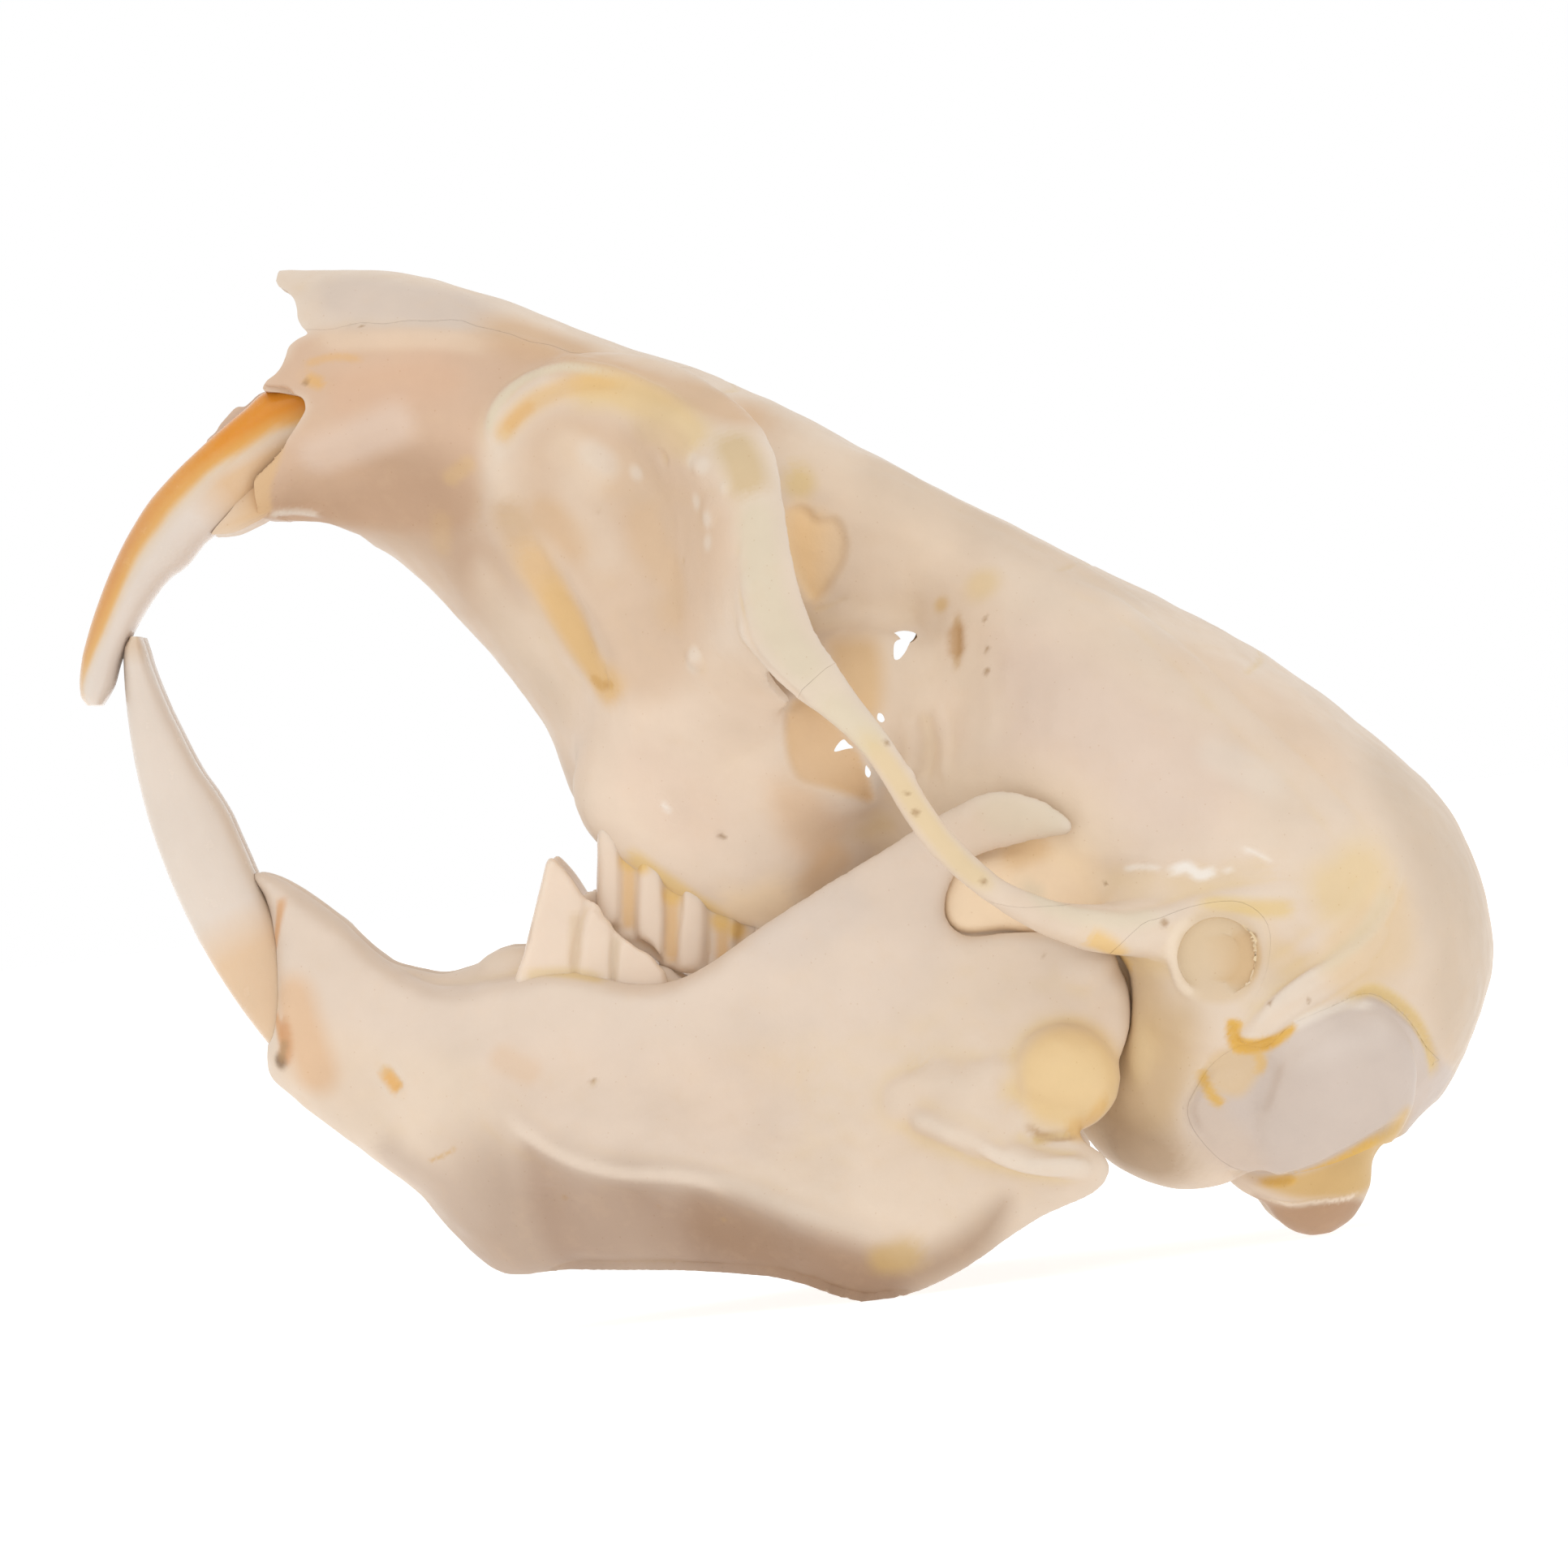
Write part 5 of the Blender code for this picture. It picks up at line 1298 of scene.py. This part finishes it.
def finish_incisor(item, spec, upper):
    """Moves an incisor to the sheet frame and tints it by how far back and how far along each vertex lies."""
    centre, start, whole, radius = incisor_arc(spec)
    places = vertex_places(item)
    flat = places[:, [0, 2]] - np.array(centre)
    turned = (np.arctan2(flat[:, 1], flat[:, 0]) - start) * np.sign(whole)
    share = np.clip(np.mod(turned + math.pi, 2 * math.pi) - math.pi, 0, abs(whole)) / abs(whole)
    depth = radius - np.linalg.norm(flat, axis=1)
    front, rear = track(spec["rows"], share).T
    back = np.clip((depth - front) / (rear - front), 0, 1)
    tint = np.tile(srgb("ivory"), (len(places), 1))

    def part(value, width=1.0):
        return np.clip(value / width, 0, 1)

    def blend(amount, name):
        tint[:] += (srgb(name) - tint) * np.clip(amount, 0, 1)[:, None]

    if upper:
        blend(part(back - 0.35) * 0.5, "pink")
        enamel_edge = spots("0,.72 .25,.5 .4,.36 .5,.38 .6,.36 .75,.42 .84,.4 .91,.3 .96,.2")
        limit = np.interp(share, *zip(*enamel_edge)) + waves(places, 1.4, 41) * 0.02
        fade = np.interp(share, [0, 0.75, 0.9, 0.99], [1, 0.95, 0.8, 0.2])
        blend(part(limit + 0.16 - back, 0.2) * fade * 0.4, "amber")
        blend(part(limit + 0.03 - back, 0.12) * fade, "flame")
        deep = np.interp(share, [0.4, 0.7, 0.95], [1, 0.85, 0.6])
        near_root = part(0.62 - share, 0.3)
        amount = part(limit - 0.02 - back, 0.22) * fade * deep
        blend(amount * (1 - near_root), (0.875, 0.62, 0.38))
        blend(amount * near_root, "enamel")
        blend(part(0.5 - share, 0.12) * part(back - limit, 0.2) * 0.6, "orange")
    else:
        blend(np.full(len(places), 0.4), (0.925, 0.85, 0.78))
        blend(part(0.35 - back, 0.3) * 0.35, "white")
        blend(part(back - 0.85, 0.12) * 0.35, "tan")
        blend(part(share - 0.96, 0.04) * 0.6, "tan")
        blend(part(0.42 - share, 0.1) * 0.5, "orange")
    store_tint(item, tint, np.full(len(places), 0.35))
    return moved(item, TO_SHEET if upper else Matrix.Translation(JAW_PLACE))


# Cheek teeth: depth of the near side, softness of its edge, and outline
UPPER_TEETH = """
-3.1 0: 744,1010 742,1100 744,1146 800,1178 826,1198 862,1196 920,1166 930,1130 900,1090 820,1030
-3.42 12: 738,1010 736,1060 736,1130 748,1141 762,1134 765,1100 764,1050 760,1015
-3.22 6: 760,1020 760,1060 762,1150 772,1158 787,1152 788,1060 786,1020
-3.55 13: 788,1030 786,1080 784,1148 794,1160 806,1168 816,1178 820,1140 818,1090 814,1040
-3.3 6: 814,1060 815,1110 815,1182 828,1192 839,1188 842,1130 840,1070
-3.55 15: 840,1065 840,1110 835,1150 832,1190 840,1199 866,1196 872,1160 872,1110 866,1075
-3.3 9: 868,1085 869,1188 890,1194 905,1180 908,1105
"""
LOWER_TEETH = """
-3.98 0: 650,1230 662,1150 700,1108 735,1112 752,1140 800,1182 822,1206 810,1240
-4.1 14: 634,1226 646,1172 656,1130 667,1086 673,1062 679,1056 687,1061 703,1079 718,1102 722,1112 712,1150 704,1190
  702,1226
-2.9 0: 716,1103 724,1098 738,1097 744,1130 722,1130
-4.12 14: 708,1230 712,1180 715,1150 722,1126 731,1119 742,1128 751,1134 757,1150 754,1185 752,1230
-3.9 4: 750,1235 752,1180 757,1152 764,1158 768,1235
-4.15 12: 760,1236 758,1185 762,1162 770,1157 786,1168 801,1176 813,1190 821,1202 818,1236
"""


# Painted warm shade down the gaps between the teeth and at their tops by the gum
UPPER_TEETH_TINTS = """
dye .28 .96,.8,.59 .9: 775,1060 774,1150 | 828,1100 827,1190 | 890,1130 890,1190
dye .45 .97,.8,.48 .85: 775,1060 | 790,1064 | 828,1102 | 888,1134 | 908,1146
"""
# Painted shade down the gaps between the teeth, kept light
LOWER_TEETH_TINTS = """
dye .3 .93,.83,.71 .8: 710,1120 706,1195
dye .26 .93,.84,.73 .8: 758,1150 756,1215
dye .3 yellow .4: 640,1202 700,1200 745,1208
dye .2 .87,.78,.7 .6: 650,1165 660,1110 672,1066
"""


def cheek_teeth(table, upper):
    """A row of cheek teeth, from rows of: depth of the near side, softness of its edge, and outline."""
    far, foot, share = (-2.2, 1000, 0.86) if upper else (-2.3, 1230, 0.8)
    pieces = [
        seen_solid("tooth", spots(where), float(near), far, float(soft), foot, share)
        for (near, soft), where in rows_of(table)
    ]
    return combine(pieces[0], pieces[1:], "UNION")


def tint_teeth(item, upper):
    refine(item, 0.07, 5)
    s = Surface(item, (0.97, 0.885, 0.80))
    # Amber in the hollows and gaps between the teeth: painted warm shade
    s.blend_where(np.clip(s.hollowness(10) * 12, 0, 0.8), "amber")
    draw(s, UPPER_TEETH_TINTS if upper else LOWER_TEETH_TINTS)
    s.gloss[:] = 0.4
    s.store()
    return item


# Materials


def fill(tree, node, inputs):
    """Sets each input to a value, or links it to an output."""
    for name, value in inputs.items():
        if isinstance(value, bpy.types.NodeSocket):
            tree.links.new(value, node.inputs[name])
        else:
            node.inputs[name].default_value = value


def bone_material(name, mottled, pores, roughness, subsurface, pore_tint):
    """Bone or tooth: the painted tint, mottled and pored by noise, with light passing a little way in."""
    made = bpy.data.materials.new(name)
    made.use_nodes = True
    tree = made.node_tree

    def add(kind, inputs, output, **settings):
        node = tree.nodes.new("ShaderNode" + kind)
        for setting, value in settings.items():
            setattr(node, setting, value)
        fill(tree, node, inputs)
        return node.outputs[output]

    def noise(scale, detail, rough):
        return add("TexNoise", {"Vector": where, "Scale": scale, "Detail": detail, "Roughness": rough}, "Fac")

    def ramp(source, low, high, start, end):
        limits = {"From Min": low, "From Max": high, "To Min": start, "To Max": end}
        return add("MapRange", {"Value": source, **limits}, "Result")

    def mix(kind, factor, a, b):
        return add("Mix", {"Factor": factor, "A": a, "B": b}, "Result", data_type="RGBA", blend_type=kind)

    def multiply_add(a, b, c, clamp=False):
        return add("Math", {0: a, 1: b, 2: c}, "Value", operation="MULTIPLY_ADD", use_clamp=clamp)

    where = add("TexCoord", {}, "Object")
    broad, cloud, grain = noise(420, 4, 0.55), noise(1500, 5, 0.6), noise(6500, 3, 0.6)
    speck = add("TexVoronoi", {"Vector": where, "Scale": 3400, "Randomness": 1.0}, "Distance")
    tone = ramp(broad, 0.3, 0.7, ALBEDO * (1 - mottled), ALBEDO * (1 + mottled * 0.4))
    paint = mix("MULTIPLY", 1.0, add("Attribute", {}, "Color", attribute_name="tint"), tone)
    paint = mix("MIX", ramp(cloud, 0.52, 0.78, 0.0, mottled * 2.2), paint, (*pore_tint, 1))
    paint = mix("MULTIPLY", ramp(speck, 0.10, 0.04, 0.0, pores), paint, (0.72, 0.56, 0.40, 1))
    height = multiply_add(grain, 0.35, cloud)
    wet = add("Attribute", {}, "Fac", attribute_name="gloss")
    dry = ramp(cloud, 0.3, 0.7, roughness - 0.06, roughness + 0.08)
    shader = tree.nodes["Principled BSDF"]
    shader.subsurface_method = "RANDOM_WALK"
    fill(tree, shader, {
        "Base Color": paint,
        "Normal": add("Bump", {"Strength": 0.35, "Distance": 0.00004, "Height": height}, "Normal"),
        "Roughness": multiply_add(wet, -0.26, dry, clamp=True),
        "Subsurface Weight": subsurface,
        "Subsurface Radius": (1.0, 0.9, 0.8),
        "Subsurface Scale": 0.0005,
        "IOR": 1.45,
        "Specular IOR Level": 0.35,
    })
    return made


def hand_in(item, material, nodes=()):
    """A finished piece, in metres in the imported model's frame and no larger than it, riding on its one body."""
    moved(item, TO_WORLD)
    set_places(item, np.clip(vertex_places(item), BOX[0] + 1e-6, BOX[1] - 1e-6))
    item.data.shade_smooth()
    item.data.set_sharp_from_angle(angle=math.radians(50))
    item.data.materials.clear()
    item.data.materials.append(material)
    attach(item, "root")
    if nodes:
        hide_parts(*nodes)
    return item


# Stage, light and camera


def stage():
    bm = bmesh.new()
    bmesh.ops.create_grid(bm, x_segments=1, y_segments=1, size=1.5)
    floor = mesh_object("floor", bm)
    made = bpy.data.materials.new("floor_white")
    made.use_nodes = True
    glow = {"Emission Color": (1, 1, 1, 1), "Emission Strength": 0.76}
    shader = made.node_tree.nodes["Principled BSDF"]
    fill(made.node_tree, shader, {"Base Color": (0.5, 0.5, 0.5, 1), "Roughness": 0.9, **glow})
    floor.data.materials.append(made)

    scene = bpy.context.scene
    scene.view_settings.view_transform = "Standard"
    scene.world = bpy.data.worlds.new("studio")
    scene.world.use_nodes = True
    tree = scene.world.node_tree
    fill(tree, tree.nodes["Background"], {"Color": (1, 1, 1, 1), "Strength": 1.0})


def lamp(place, target, size, power):
    light = bpy.data.lights.new("key", "AREA")
    light.shape = "DISK"
    light.size = size
    light.energy = power
    item = bpy.data.objects.new("key", light)
    item.location = place
    item.rotation_euler = (Vector(target) - Vector(place)).to_track_quat("-Z", "Y").to_euler()
    bpy.context.scene.collection.objects.link(item)


def camera():
    data = bpy.data.cameras.new("camera")
    data.sensor_width = 36
    data.lens = 36 * AWAY / (PICTURE * UNIT)
    data.clip_start, data.clip_end = 0.01, 10
    item = bpy.data.objects.new("camera", data)
    bpy.context.scene.collection.objects.link(item)
    level = Matrix.Rotation(math.radians(90), 4, "X")
    turned = Matrix.Rotation(math.radians(REST_TIP), 4, "Y")
    item.matrix_world = Matrix.Translation(TO_WORLD @ EYE) @ turned @ level
    bpy.context.scene.camera = item


def main():
    bone = bone_material("bone", 0.06, 0.35, 0.42, 0.0, (0.66, 0.47, 0.30))
    chalk = bone_material("mastoid_bone", 0.05, 0.2, 0.5, 0.0, (0.66, 0.55, 0.44))
    tooth = bone_material("tooth", 0.04, 0.0, 0.3, 0.3, (0.62, 0.50, 0.38))

    whole = cranium()
    draw(Surface(whole), CRANIUM_SHAPE)
    surface = Surface(pierce(whole))
    tint_cranium(surface)
    for name, piece in part_cranium(whole, surface).items():
        if name == "cranium":
            hand_in(piece, bone, ["rostrum", "braincase", "zygomatic_plate_left", "zygomatic_plate_right"])
            continue
        kind = name.split("_")[0]
        hand_in(piece, chalk if kind == "mastoid" else bone, [name])
        piece.name = name + "_fine"

    left = jaw_half()
    surface = Surface(left)
    draw(surface, JAW_SHAPE)
    tint_jaw(surface)
    surface.store()
    right = mirrored(left, "jaw_right")
    left.name = "jaw_left"
    hand_in(left, bone, ["mandible_left"])
    hand_in(right, bone, ["mandible_right"])

    for word, spec, upper in (("upper", UPPER_INCISOR, True), ("lower", LOWER_INCISOR, False)):
        for side in ("left", "right"):
            # The far tooth is a little thinner at its back
            thin = 0.17 if upper and side == "right" else 0.0
            own = {**spec, "rows": [(along, front, back - thin) for along, front, back in spec["rows"]]}
            item = finish_incisor(incisor(f"{word}_gnawing_tooth_{side}", own), own, upper)
            if side == "right":
                flip(item)
            hand_in(item, tooth, [f"{word}_incisor_{side}"])

    for word, row, upper in (("upper", UPPER_TEETH, True), ("lower", LOWER_TEETH, False)):
        item = tint_teeth(cheek_teeth(row, upper), upper)
        item.name = f"{word}_cheek_teeth_left"
        twin = mirrored(item, f"{word}_cheek_teeth_right")
        hand_in(item, tooth)
        hand_in(twin, tooth)

    stage()
    lamp((-0.06, -0.36, 0.42), (0, 0, 0.015), 0.5, 0.4)
    camera()


main()
